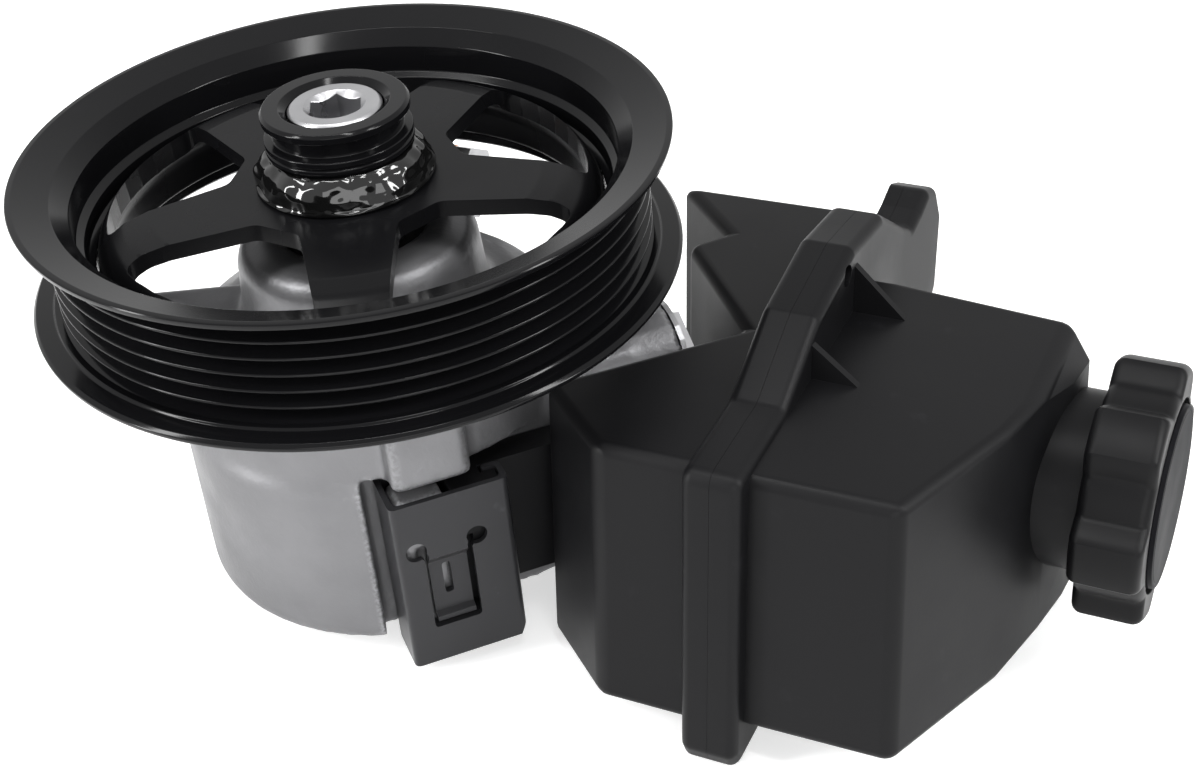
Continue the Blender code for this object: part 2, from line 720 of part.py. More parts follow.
def front_clip():
    """Spring clip of sheet steel that grips the pump's rail and the reservoir's arm."""
    front = CLIP_T
    back = CLIP_T - CLIP_THICK
    side = CLIP_A - CLIP_THICK
    outline = [
        (-7.9, 35.7), (-CLIP_A, 35.7), (-CLIP_A, front), (CLIP_A, front), (CLIP_A, 41.9), (8.5, 41.9),
        (8.5, 41.9 + CLIP_THICK), (side, 41.9 + CLIP_THICK), (side, back), (-side, back),
        (-side, 35.7 + CLIP_THICK), (-7.9, 35.7 + CLIP_THICK),
    ]
    clip = plate("front_clip", [outline], *CLIP_Z)
    window = rounded([(-7.0, 7.0), (3.2, 7.0), (3.2, 25.5), (-7.0, 25.5)], 0.8, 2)
    holes = [window, ring_points(2.2, 14, (-8.4, 27.6)), ring_points(2.2, 14, (4.4, 27.6))]
    upright = Matrix.Rotation(math.radians(90), 4, "X")
    punch = moved(plate("punch", holes, -60, -46.5), upright)
    corner = moved(plate("corner", [[(14, 4), (10.5, -3), (14, -3)]], -60, -30), upright)
    clip = cut(clip, punch, corner)
    profile = [
        (front, 27.0), (back, 27.0), (back, 25.4), (back - 2.1, 22.9), (back - 2.1, 9.0), (front - 2.1, 9.0),
        (front - 2.1, 22.4), (front, 24.9),
    ]
    tongue = moved(plate("tongue", [profile], -6.0, 2.2), FACE_ON)
    slot = block("slot", (-3.3, -1.5), (44, 47), (13.5, 21.5))
    clip = join(clip, cut(tongue, slot))
    moved(clip, ATTACH)
    return finish(clip, DARK_STEEL)


def flow_valve():
    """Spool, spring and plug in the valve bore."""
    place = ATTACH @ shift(0, VALVE_T, VALVE_Z) @ ALONG_X
    spring = moved(coil("flow_valve_spring", 5.6, 0.7, SPRING_A[0], SPRING_A[1], 4.0), place)
    finish(spring, GROUND_STEEL, smooth=60)
    low, high = SPOOL_A
    land = VALVE_R - FIT
    spool = [
        (0, high), (land - 0.6, high), (land, high - 0.6), (land, high - 3.5), (land - 1.8, high - 3.5),
        (land - 1.8, low + 4.5), (land, low + 4.5), (land, low + 0.6), (land - 0.6, low), (0, low),
    ]
    spool = moved(lathe("flow_valve_spool", spool, STEPS_SMALL), place)
    middle = place @ Vector((0, 0, low * MM))
    finish(spool, GROUND_STEEL, origin=middle, smooth=30)
    stem = plate("valve_plug", [ring_points(land, STEPS_SMALL)], PLUG_A[0], PLUG_A[1] + 1)
    head = plate("head", [ring_points(12.6, 24)], PLUG_A[1], PLUG_HEAD - 2.6)
    nut = plate("nut", [ring_points(9.8, 6)], PLUG_HEAD - 3.2, PLUG_HEAD)
    plug = moved(join(stem, head, nut), place)
    finish(plug, GROUND_STEEL)


def outlet():
    """Pressure fitting and its copper washer on the far side."""
    place = RESERVOIR @ shift(0, OUTLET_D, OUTLET_Z) @ ALONG_X
    face = OUTLET_FACE + FIT
    washer = [(4.9, face + 1.3), (8.2, face + 1.3), (8.2, face), (4.9, face)]
    finish(moved(lathe("outlet_sealing_washer", washer, 24), place), COPPER, smooth=30)
    seat = face + 1.3 + FIT
    stem = [(2.4, 6.0), (5.2, 6.0), (5.6, 5.4), (5.6, seat + 4), (4.4, seat + 3), (4.4, -25), (2.4, -25)]
    fitting = lathe("outlet_fitting", stem, 24)
    hexagon = plate("hexagon", [ring_points(9.2, 6), ring_points(3.0, 16)], seat, seat + 6)
    finish(moved(join(fitting, hexagon), place), BRIGHT_STEEL)


def tank_flange(r0, r1):
    """One half of the flange between two stations."""
    whole = plate("flange", [FLANGE_OUTLINE], FLANGE_FACES[0], FLANGE_FACES[1])
    whole = soften(whole, 2.6, 2)
    moved(whole, FACE_ON)
    return cut(whole, block("halving", (r0, r1), (-60, 120), (-40, 100)))


def spread(made):
    """Widen the outer end of the tank towards its foot, as the moulded shell does."""
    for vertex in made.data.vertices:
        beyond = vertex.co.x / MM - TANK_SPREAD_FROM
        if beyond > 0:
            vertex.co.x += beyond * TANK_SPREAD * (TANK_Z[1] * MM - vertex.co.z)
    return made


def cavity(outline, levels, r_open):
    """Hollow of a tank half, open at the seam."""
    inner = inset(outline, TANK_WALL)
    near = FLANGE_HALF + 0.5
    inner = [(r_open if abs(x - SEAM_R) < near else min(x, TANK_END_INSIDE), y) for x, y in inner]
    hollow = plate("cavity", [inner], levels[0] + TANK_WALL, levels[1] - TANK_WALL)
    return moved(spread(hollow), LEAN)


def reservoir_inner_half():
    """Tank half beside the pump, with the suction spigot, return nipple and clip arm."""
    box = soften(plate("reservoir_inner_half", [LEFT_BOX], *TANK_INNER_Z), TANK_ROUND, 2)
    thin_ear = block("thin ear", (FLANGE_FACES[0] - 4.5, EAR_FACE), (73.5, 110), (25, 100))
    half = join(box, cut(tank_flange(SEAM_R - FIT / 2, 200), thin_ear))
    moved(half, LEAN)
    hollow = cavity(LEFT_BOX, TANK_INNER_Z, SEAM_R + 2)
    place = shift(*NIPPLE_AT) @ turn_z(-90)
    nipple = moved(rod("nipple", NIPPLE_R, -NIPPLE_END, -64, 20), place)
    ridge = moved(rod("ridge", NIPPLE_R + 0.9, 3 - NIPPLE_END, 6 - NIPPLE_END, 20), place)
    hole = moved(rod("hole", NIPPLE_R - 1.8, -NIPPLE_END - 4, -60, 16), place)
    half = cut(join(half, nipple, ridge), hollow, hole)
    moved(half, RESERVOIR)
    spigot = [
        (0, 66.5), (INLET_R - FIT, 66.5), (INLET_R - FIT, 45.0), (INLET_R - 2.3, 45.0), (INLET_R - 2.3, 42.0),
        (INLET_R - FIT, 42.0), (INLET_R - FIT, 40.0), (0, 40.0),
    ]
    place = ATTACH @ shift(0, INLET_T, INLET_Z) @ ALONG_X
    spigot = moved(lathe("spigot", spigot, STEPS_SMALL), place)
    bore = moved(plate("bore", [ring_points(6.0, 20)], 38, 70), place)
    arm = block("arm", (0.6, 32), (35.0, 41.2), (8, 39))
    neck = block("arm neck", (0.6, 8.0), (40.5, 44.5), (8, 39))
    head = block("arm head", (0.6, 10.9), (43.5, RAIL_T), (8, 39))
    web = block("arm web", (25.0, 32), (36, 52), (8, 39))
    arm = join(arm, neck, head, web)
    arm = moved(cut(arm, block("notch", (-1, 4.0), (44.2, 50), (6.5, 27))), ATTACH)
    half = join(half, arm, spigot)
    return finish(cut(half, bore), BLACK_PLASTIC, smooth=28)


def gusset(d, reach, top):
    """Triangular rib between the top of the tank and the flange."""
    back = SEAM_R + 3.5
    face = FLANGE_FACES[1]
    foot = face + reach
    rib = [(back, 52), (foot, 52), (foot, 54.6), (face - 0.5, top), (back, top)]
    rib = plate("gusset", [rib], d - 0.8, d + 0.8)
    return moved(rib, UPRIGHT)


CAP = RESERVOIR @ shift(0, CAP_D, CAP_Z) @ ALONG_X


def reservoir_outer_half():
    """Tank half with the filler neck."""
    box = plate("reservoir_outer_half", [RIGHT_BOX], *TANK_Z)
    brow = moved(plate("brow", [TANK_BROW], -60, 80), UPRIGHT)
    box = spread(soften(cut(box, brow), TANK_ROUND, 2))
    half = join(box, tank_flange(0, SEAM_R + FIT / 2), gusset(6.8, 10.1, 62.5), gusset(32.0, 11.5, 65.5))
    half = cut(half, moved(rod("flange hole", 1.7, SEAM_R + 2, SEAM_R + 8.5, 14), shift(0, 34, 60.5)))
    moved(half, LEAN)
    half = cut(half, cavity(RIGHT_BOX, TANK_Z, SEAM_R - 2))
    moved(half, RESERVOIR)
    neck = moved(plate("neck", [ring_points(NECK_R)], NECK_ROOT, NECK_END), CAP)
    bore = [
        (0, NECK_END + 3), (NECK_BORE_R, NECK_END + 3), (NECK_BORE_R, NECK_ROOT + 8),
        (NECK_ROOT_BORE_R, NECK_ROOT + 6), (NECK_ROOT_BORE_R, NECK_ROOT - 1.2), (0, NECK_ROOT - 1.2),
    ]
    return finish(cut(join(half, neck), moved(lathe("neck bore", bore), CAP)), BLACK_PLASTIC, smooth=28)


def cap_outline():
    """Six flat lobes with round scallops between them."""
    found = []
    steps = 10 * CAP_LOBES
    for i in range(steps):
        angle = math.tau * i / steps + math.radians(CAP_LOBE_PHASE)
        wave = math.cos(math.tau * i * CAP_LOBES / steps)
        share = max(0.0, min(1.0, 0.55 + 1.1 * wave))
        radius = CAP_DIP_R + (CAP_LOBE_R - CAP_DIP_R) * share
        found.append((radius * math.cos(angle), radius * math.sin(angle)))
    return found


def cap_pieces():
    """Screw cap, its bare inset disc, the gasket and the dipstick."""
    front = CAP_BACK + CAP_DEPTH
    knob = soften(plate("filler_cap", [cap_outline()], CAP_BACK, front), 1.6, 2)
    cup = plate("cup", [ring_points(NECK_R + RUNNING)], CAP_BACK - 3, NECK_END + 2.2)
    recess = plate("recess", [ring_points(CAP_RECESS_R)], front - CAP_RECESS, front + 3)
    knob = moved(cut(knob, cup, recess), CAP)
    seat = NECK_END + FIT
    origin = CAP @ Vector((0, 0, seat * MM))
    finish(knob, BLACK_PLASTIC, origin=origin, smooth=30)
    face = front + CAP_DISC_PROUD
    disc = [(0, face), (CAP_DISC_R - 0.9, face), (CAP_DISC_R - 0.2, face - 0.3), (CAP_DISC_R, face - 1.0),
            (CAP_DISC_R, front - CAP_RECESS + FIT), (0, front - CAP_RECESS + FIT)]
    disc = lathe("cap_disc", disc)
    finish(moved(disc, CAP), BLACK_PLASTIC, origin=origin, smooth=30)
    outlines = [ring_points(NECK_R - 0.4), ring_points(NECK_BORE_R + 0.4)]
    gasket = plate("cap_gasket", outlines, seat, seat + 1.6)
    finish(moved(gasket, CAP), SEAL_RUBBER, origin=origin, smooth=30)
    stick = plate("dipstick", [ring_points(NECK_BORE_R - 0.6, STEPS_SMALL)], seat - 1.0, seat + 1.6)
    blade = moved(block("blade", (STICK_END, seat), (-2.6, 2.6), (-0.8, 0.8)), SWAP_ENDS)
    finish(moved(join(stick, blade), CAP), BLACK_PLASTIC, origin=origin, smooth=30)


def inlet_o_ring():
    """Rubber ring in the groove of the suction spigot."""
    place = ATTACH @ shift(0, INLET_T, INLET_Z) @ ALONG_X
    ring = moved(o_ring("inlet_o_ring", INLET_R - 1.15, 0.95, 43.5, 24), place)
    return finish(ring, SEAL_RUBBER, smooth=60)


pulley_rim()
pulley_spider()
pulley_hub()
hub_weld()
drive_shaft()
cartridge()
pump_housing()
front_clip()
flow_valve()
outlet()
reservoir_inner_half()
reservoir_outer_half()
inlet_o_ring()
cap_pieces()
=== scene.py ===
import json
import math

import bmesh
import bpy
from mathutils import Matrix, Vector
from mathutils.noise import noise as noise3

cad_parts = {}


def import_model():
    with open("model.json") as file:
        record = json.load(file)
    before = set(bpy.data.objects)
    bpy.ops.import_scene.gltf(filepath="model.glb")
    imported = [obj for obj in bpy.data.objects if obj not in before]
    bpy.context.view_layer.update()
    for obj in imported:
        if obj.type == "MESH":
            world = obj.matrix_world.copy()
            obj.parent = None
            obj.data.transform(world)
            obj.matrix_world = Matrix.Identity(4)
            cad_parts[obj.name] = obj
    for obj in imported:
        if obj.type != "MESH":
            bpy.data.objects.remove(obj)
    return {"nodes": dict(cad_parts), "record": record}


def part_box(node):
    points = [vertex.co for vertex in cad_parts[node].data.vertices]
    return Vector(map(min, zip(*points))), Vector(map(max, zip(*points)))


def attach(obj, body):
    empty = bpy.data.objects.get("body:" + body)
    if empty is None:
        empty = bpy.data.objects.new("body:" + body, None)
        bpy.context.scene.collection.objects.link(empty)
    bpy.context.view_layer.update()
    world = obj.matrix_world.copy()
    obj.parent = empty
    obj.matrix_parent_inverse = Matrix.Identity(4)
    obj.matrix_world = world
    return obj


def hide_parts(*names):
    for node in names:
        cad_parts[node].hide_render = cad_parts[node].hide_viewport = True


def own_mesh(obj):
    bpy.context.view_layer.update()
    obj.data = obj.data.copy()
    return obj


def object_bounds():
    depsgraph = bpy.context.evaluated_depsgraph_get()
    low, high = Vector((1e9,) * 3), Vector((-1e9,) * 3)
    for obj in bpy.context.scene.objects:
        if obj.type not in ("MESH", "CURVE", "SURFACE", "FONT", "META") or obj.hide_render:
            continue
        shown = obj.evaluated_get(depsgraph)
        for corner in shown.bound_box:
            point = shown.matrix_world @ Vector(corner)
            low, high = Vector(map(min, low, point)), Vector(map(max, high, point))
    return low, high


# Looks of the power steering pump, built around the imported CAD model
# Lengths are in millimetres until a mesh is made

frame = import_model()
CAD_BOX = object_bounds()

MM = 0.001

# Camera that was fitted to the photo
CAMERA_PLACE = (46.956, -343.749, 270.811)
CAMERA_PITCH = 35.007
CAMERA_ROLL = 5.444
CAMERA_LENS = 57.35
CAMERA_SENSOR = 36.0

# Frames of the reservoir and of the clip
RESERVOIR_TURN = -28.0
CLIP_TURN = 18.5

# Pulley, heights from the top face of the spider
RIB_PITCH = 3.56
RIB_COUNT = 6
RIB_ROOT_R = 57.9
RIB_TIP_SHARE = 0.42
RIB_ROOT_SHARE = 0.08
RIB_TIP_R = 61.1
LIP_Z = 7.46
LIP_R = 66.6
FLANGE_R = 67.1
SEAT_R = 52.2
SPIDER_THICK = 3.5
SPIDER_BEND = 6.0
SPIDER_BOTTOM = -16.0
SPOKE_ANGLE = -86.0
WINDOW_IN = 24.0
WINDOW_OUT = 48.8
SPOKE_IN = 19.0
SPOKE_OUT = 13.5
HUB_SPIGOT_R = 13.3
HUB_NECK_R = 14.0
HUB_R = 15.0
HUB_TOP = 16.4
HUB_FOOT = -8.0
WELD_TOP = 7.2
WELD_R = 18.6
SHAFT_R = 9.5
SHAFT_END = 15.9
SOCKET_FLATS = 10.0
FIT = 0.3
SEAM_GAP = 0.04

# Pump body and the pocket for the clip, in the clip's frame
BODY_R = 43.0
NOSE_R = 25.0
NOSE_TOP = 77.0
SKIN = 1.2
SKIN_CLEAR = 0.1
POCKET_A = (-15.5, 26.5)
POCKET_T = 34.5
POCKET_TOP = 41.0
BOSS_HOLE = (-2.0, 38.0)
BOSS_HOLE_R = 3.4
PAD_ANGLES = (104, 180)

# Flow valve along its own bore
VALVE_T = 20.5
VALVE_Z = 37.5
VALVE_R = 8.5
VALVE_BORE = (31.0, 58.0)
BORE_BULGE = 1.2

# Clip, in its own frame
CLIP_T = 48.2
CLIP_THICK = 1.2
CLIP_A = 12.45
CLIP_Z = (-2.0, 39.5)
CLIP_BEND = 1.5
CLIP_HOOKS = (35.7, 41.9)
CLIP_HOOK_ENDS = (-7.9, 8.5)
CLIP_PUNCH = (-60, -46.5)
WINDOW_A = (-7.0, 3.2)
WINDOW_Z = (7.0, 25.5)
WINDOW_ROUND = 0.9
EAR_HOLES = [(-8.4, 27.6), (4.4, 27.6)]
EAR_HOLE_R = 2.2
EARS = [
    [(-9.4, 26.6), (-7.9, 26.2), (-6.0, 23.6), (-6.0, 25.9), (-7.2, 28.6)],
    [(5.4, 26.6), (3.9, 26.2), (2.2, 23.6), (2.2, 25.9), (3.2, 28.6)],
]
TONGUE_A = (-6.0, 2.2)
TONGUE_SINK = 2.1
TONGUE_LIP = 0.9
TONGUE_SLOT = [(-3.3, 13.5), (-1.5, 13.5), (-1.5, 21.5), (-3.3, 21.5)]

# Suction spigot, in the clip's frame
INLET_T = 20.0
INLET_Z = 12.2
INLET_R = 10.3
RAIL_T = 46.6

# Reservoir, in its own frame
TANK_Z = (-1.4, 55.0)
TANK_INNER_Z = (-3.6, 55.0)
TANK_LEAN = 0.138
TANK_SPREAD = 0.0014
TANK_SPREAD_FROM = 112.0
TANK_WALL = 2.5
TANK_ROUND = 2.4
TANK_END_INSIDE = 136.2
TANK_BROW = [(138.6, 55.6), (152.0, 55.6), (152.0, 34.2)]
FLANGE_FACES = (84.5, 96.5)
FLANGE_ROUND = 2.6
FLANGE_CORNER = 3.0
FLANGE_HOLE = (26.9, 65.2)
FLANGE_HOLE_R = 2.2
GUSSETS = [(6.8, 106.6, 62.5), (32.0, 108.0, 65.5)]
GUSSET_HALF = 0.8
EAR_FACE = 87.2
SEAM_R = 90.5
LEFT_BOX = [
    (88.0, 71.0), (42.5, 70.0), (60.3, 53.2), (53.8, 45.9),
    (77.8, 19.0), (47.0, -11.5), (65.3, -27.4), (88.0, -27.4),
]
RIGHT_BOX = [
    (93.0, -27.4), (125.2, -27.1), (136.9, 1.9), (140.6, 18.1),
    (142.6, 29.6), (143.4, 41.6), (101.6, 45.5), (93.0, 45.5),
]
FLANGE_OUTLINE = [
    (-30.0, -9.4), (68.0, -9.4), (74.0, 1.0), (96.3, 25.0), (96.8, 43.0), (92.0, 51.3), (85.0, 54.3),
    (79.0, 52.4), (73.0, 51.5), (67.0, 55.0), (50.0, 66.5), (31.0, 69.3), (10.0, 66.0), (-8.0, 57.0),
    (-32.0, 57.0), (-32.0, -5.5),
]
NIPPLE_AT = (70.0, 0.0, 22.0)
NIPPLE_R = 5.0
NIPPLE_END = 92.0

# Cap and neck, along their own axis
CAP_LOBES = 6
CAP_LOBE_R = 26.35
CAP_DIP_R = 22.4
CAP_LOBE_PHASE = 30.0
CAP_ROUND = 2.2
CAP_RECESS_R = 19.9
CAP_RECESS = 1.4
CAP_DISC_R = 18.7
CAP_DISC_PROUD = 0.95
CAP_DEPTH = 14.2
CAP_BACK = 149.0
CAP_D = 27.0
CAP_Z = 27.5
NECK_R = 18.4
NECK_ROOT = 137.0
NECK_ROOT_BORE_R = 10.5
NECK_BORE_R = 15.2
NECK_END = 155.0

# Pressure fitting on the far side
OUTLET_D = 56.0
OUTLET_Z = 55.0
OUTLET_FACE = -12.3

# How finely the casting is remeshed, and how far it is smoothed
HOUSING_VOXEL = 0.85
HOUSING_BLUR = 0.5
HOUSING_BLUR_STEPS = 5

# Stage levels
FLOOR_LIFT = 0.55
WORLD_LIGHT = 0.45
WORLD_SEEN = 1.0
FLOOR_SIZE = 12
FLOOR_GAP = 0.2
FLOOR_GREY = 0.8

# Top face of the spider, found from the frame
PULLEY_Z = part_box("pulley_rim")[1].z / MM - LIP_Z


def shift(x, y, z):
    """Move by millimetres."""
    return Matrix.Translation(Vector((x, y, z)) * MM)


def turn_z(degrees):
    """Turn about the shaft axis."""
    return Matrix.Rotation(math.radians(degrees), 4, "Z")


ALONG_X = Matrix.Rotation(math.radians(90), 4, "Y")
# UPRIGHT stands a plate's outline in the x-z plane, FACE_ON in the y-z plane
UPRIGHT = Matrix(((1, 0, 0, 0), (0, 0, 1, 0), (0, 1, 0, 0), (0, 0, 0, 1)))
FACE_ON = Matrix(((0, 0, 1, 0), (1, 0, 0, 0), (0, 1, 0, 0), (0, 0, 0, 1)))
ATTACH = turn_z(CLIP_TURN) @ Matrix.Scale(-1, 4, (0, 1, 0))
RESERVOIR = turn_z(RESERVOIR_TURN)
LEAN_BACK = -TANK_LEAN * TANK_Z[1] * MM
LEAN = Matrix(((1, 0, 0, 0), (0, 1, TANK_LEAN, LEAN_BACK), (0, 0, 1, 0), (0, 0, 0, 1)))
CAP = RESERVOIR @ shift(0, CAP_D, CAP_Z) @ ALONG_X
OUTLET = RESERVOIR @ shift(0, OUTLET_D, OUTLET_Z) @ ALONG_X
VALVE = ATTACH @ shift(0, VALVE_T, VALVE_Z) @ ALONG_X
INLET = ATTACH @ shift(0, INLET_T, INLET_Z) @ ALONG_X


# Materials

def new_material(name):
    """Material with its node tree, shader and object coordinates."""
    material = bpy.data.materials.new(name)
    material.use_nodes = True
    tree = material.node_tree
    place = tree.nodes.new("ShaderNodeTexCoord").outputs["Object"]
    return material, tree, tree.nodes["Principled BSDF"], place


def rings(tree, place):
    """Coordinates that only change along the radius and the height, for turned faces."""
    split = tree.nodes.new("ShaderNodeSeparateXYZ")
    tree.links.new(place, split.inputs[0])
    flat = tree.nodes.new("ShaderNodeCombineXYZ")
    tree.links.new(split.outputs["X"], flat.inputs["X"])
    tree.links.new(split.outputs["Y"], flat.inputs["Y"])
    radius = tree.nodes.new("ShaderNodeVectorMath")
    radius.operation = "LENGTH"
    tree.links.new(flat.outputs[0], radius.inputs[0])
    both = tree.nodes.new("ShaderNodeCombineXYZ")
    tree.links.new(radius.outputs["Value"], both.inputs["X"])
    tree.links.new(split.outputs["Z"], both.inputs["Z"])
    return both.outputs[0]


def noise(tree, place, scale, detail):
    """Noise texture output."""
    node = tree.nodes.new("ShaderNodeTexNoise")
    node.inputs["Scale"].default_value = scale
    node.inputs["Detail"].default_value = detail
    tree.links.new(place, node.inputs["Vector"])
    return node.outputs["Fac"]


def ranged(tree, value, low, high, to_low, to_high):
    """Value mapped from one range to another, and held inside it."""
    node = tree.nodes.new("ShaderNodeMapRange")
    node.inputs["From Min"].default_value = low
    node.inputs["From Max"].default_value = high
    node.inputs["To Min"].default_value = to_low
    node.inputs["To Max"].default_value = to_high
    tree.links.new(value, node.inputs["Value"])
    return node.outputs["Result"]


def mixed(tree, factor, first, second):
    """Colour between two colours or a colour and an earlier mix."""
    node = tree.nodes.new("ShaderNodeMix")
    node.data_type = "RGBA"
    tree.links.new(factor, node.inputs["Factor"])
    for socket, value in (("A", first), ("B", second)):
        if isinstance(value, tuple):
            node.inputs[socket].default_value = (*value, 1)
        else:
            tree.links.new(value, node.inputs[socket])
    return node.outputs["Result"]


def bumped(tree, shader, heights):
    """Chain of bumps, each an output with a depth in millimetres."""
    last = None
    for value, depth in heights:
        node = tree.nodes.new("ShaderNodeBump")
        node.inputs["Distance"].default_value = depth * MM
        tree.links.new(value, node.inputs["Height"])
        if last:
            tree.links.new(last, node.inputs["Normal"])
        last = node.outputs["Normal"]
    tree.links.new(last, shader.inputs["Normal"])


def shade(colour, factor):
    """Colour made darker or lighter."""
    return tuple(c * factor for c in colour)


def coated(name, colour, rough, specular, grain, depth, scuff, turned=False, metallic=0.0):
    """Paint or plastic: fine grain, broad sheen changes and a few lighter scuffs."""
    material, tree, shader, place = new_material(name)
    shader.inputs["Metallic"].default_value = metallic
    shader.inputs["Specular IOR Level"].default_value = specular
    fine = noise(tree, rings(tree, place) if turned else place, grain, 4.0)
    broad = noise(tree, place, 28.0, 4.0)
    scuffs = ranged(tree, noise(tree, place, 170.0, 6.0), 0.66, 0.74, 0.0, 1.0)
    tone = mixed(tree, broad, shade(colour, 0.85), shade(colour, 1.15))
    tone = mixed(tree, scuffs, tone, shade(colour, 1 + 0.5 * scuff))
    tree.links.new(tone, shader.inputs["Base Color"])
    sheen = ranged(tree, broad, 0.35, 0.65, rough * 0.86, rough * 1.14)
    tree.links.new(sheen, shader.inputs["Roughness"])
    bumped(tree, shader, [(fine, depth), (broad, depth * 4)])
    return material


def cast_metal(name, colour, metallic, rough):
    """Cast and coated light metal: pebbled skin, faint flow marks and soft stains."""
    material, tree, shader, place = new_material(name)
    shader.inputs["Metallic"].default_value = metallic
    pebble = noise(tree, place, 1100.0, 5.0)
    flow = noise(tree, place, 90.0, 6.0)
    stain = ranged(tree, noise(tree, place, 36.0, 5.0), 0.35, 0.7, 0.0, 1.0)
    tone = mixed(tree, stain, shade(colour, 0.84), shade(colour, 1.06))
    sharpness = tree.nodes.new("ShaderNodeNewGeometry").outputs["Pointiness"]
    edges = ranged(tree, sharpness, 0.51, 0.545, 0.0, 1.0)
    worn = tree.nodes.new("ShaderNodeMath")
    worn.operation = "MULTIPLY"
    tree.links.new(edges, worn.inputs[0])
    tree.links.new(ranged(tree, pebble, 0.40, 0.60, 0.0, 1.0), worn.inputs[1])
    tone = mixed(tree, ranged(tree, flow, 0.68, 0.76, 0.0, 1.0), tone, shade(colour, 1.2))
    tone = mixed(tree, worn.outputs[0], tone, shade(colour, 1.7))
    tree.links.new(tone, shader.inputs["Base Color"])
    sheen = ranged(tree, flow, 0.3, 0.7, rough - 0.08, rough + 0.1)
    tree.links.new(sheen, shader.inputs["Roughness"])
    bumped(tree, shader, [(pebble, 0.06), (flow, 0.2)])
    return material


def bare_metal(name, colour, rough, grain, turned=False):
    """Machined metal with fine tool lines and slight tarnish."""
    material, tree, shader, place = new_material(name)
    shader.inputs["Metallic"].default_value = 1.0
    lines = noise(tree, rings(tree, place) if turned else place, grain, 3.0)
    tarnish = noise(tree, place, 120.0, 4.0)
    tone = mixed(tree, tarnish, shade(colour, 0.8), shade(colour, 1.12))
    tree.links.new(tone, shader.inputs["Base Color"])
    sheen = ranged(tree, tarnish, 0.3, 0.7, rough - 0.06, rough + 0.08)
    tree.links.new(sheen, shader.inputs["Roughness"])
    bumped(tree, shader, [(lines, 0.006)])
    return material


FINISHES = {
    "gloss_black_paint": coated(
        "gloss black paint", (0.004, 0.004, 0.0045),
        rough=0.13, specular=0.14, grain=420, depth=0.0012, scuff=0.3, turned=True,
    ),
    "satin_black_paint": coated(
        "satin black paint", (0.004, 0.004, 0.0045),
        rough=0.28, specular=0.08, grain=700, depth=0.004, scuff=0.6,
    ),
    "weld_paint": coated(
        "weld paint", (0.004, 0.004, 0.004),
        rough=0.07, specular=0.5, grain=600, depth=0.001, scuff=0.3,
    ),
    "black_plastic": coated(
        "black plastic", (0.004, 0.004, 0.0045),
        rough=0.43, specular=0.125, grain=1600, depth=0.010, scuff=1.2,
    ),
    "cap_plastic": coated(
        "cap plastic", (0.003, 0.003, 0.0034),
        rough=0.42, specular=0.12, grain=1600, depth=0.008, scuff=1.0,
    ),
    "disc_plastic": coated(
        "disc plastic", (0.006, 0.006, 0.0072),
        rough=0.5, specular=0.03, grain=900, depth=0.003, scuff=0.6,
    ),
    "grey_casting": cast_metal("grey casting", (0.17, 0.17, 0.176), metallic=0.6, rough=0.42),
    "dark_clip_steel": coated(
        "dark clip steel", (0.022, 0.022, 0.024),
        rough=0.36, specular=0.3, grain=900, depth=0.005, scuff=1.8, metallic=0.3,
    ),
    "bright_steel": bare_metal("bright steel", (0.40, 0.40, 0.41), rough=0.32, grain=900, turned=True),
    "ground_steel": bare_metal("ground steel", (0.40, 0.40, 0.41), rough=0.34, grain=800),
    "copper": bare_metal("copper", (0.62, 0.24, 0.09), rough=0.34, grain=500),
    "bronze": bare_metal("bronze", (0.52, 0.36, 0.17), rough=0.36, grain=500),
    "seal_rubber": coated(
        "seal rubber", (0.010, 0.010, 0.010),
        rough=0.66, specular=0.25, grain=900, depth=0.02, scuff=0.5,
    ),
}
SLOTS = {row["node"]: row["material_slot"] for row in frame["record"]["subparts"]}
BODY_NODES = frame["record"]["behaviour"]["bodies"]
BODIES = {node: body for body, nodes in BODY_NODES.items() for node in nodes}


# Mesh tools

def link(name, mesh):
    """New object in the scene."""
    made = bpy.data.objects.new(name, mesh)
    bpy.context.scene.collection.objects.link(made)
    return made


def clean(mesh):
    """Join doubled points, close slits that a boolean left and turn faces outward."""
    work = bmesh.new()
    work.from_mesh(mesh)
    bmesh.ops.remove_doubles(work, verts=work.verts, dist=0.000002)
    bmesh.ops.holes_fill(work, edges=[edge for edge in work.edges if edge.is_boundary], sides=0)
    bmesh.ops.recalc_face_normals(work, faces=work.faces)
    work.to_mesh(mesh)
    work.free()


def bake(made):
    """Plain mesh object from one with modifiers, or from a curve."""
    graph = bpy.context.evaluated_depsgraph_get()
    mesh = bpy.data.meshes.new_from_object(made.evaluated_get(graph))
    name = made.name
    bpy.data.objects.remove(made, do_unlink=True)
    clean(mesh)
    mesh.name = name
    return link(name, mesh)


def moved(made, matrix):
    """Move the mesh itself, and keep its faces outward."""
    made.data.transform(matrix)
    if matrix.determinant() < 0:
        made.data.flip_normals()
    return made


def rounded(points, radius, steps=4, closed=True):
    """Outline with its corners rounded; end points of an open outline stay."""
    found = []
    last = len(points) - 1
    for i, here in enumerate(points):
        if not closed and i in (0, last):
            found.append(tuple(here))
            continue
        corner = Vector(here)
        before = Vector(points[i - 1]) - corner
        after = Vector(points[(i + 1) % len(points)]) - corner
        half = before.angle(after) / 2
        reach = min(radius / math.tan(half), before.length * 0.45, after.length * 0.45)
        first = corner + before.normalized() * reach
        final = corner + after.normalized() * reach
        for k in range(steps + 1):
            s = k / steps
            point = first * (1 - s) ** 2 + corner * 2 * s * (1 - s) + final * s ** 2
            found.append((point.x, point.y))
    return found


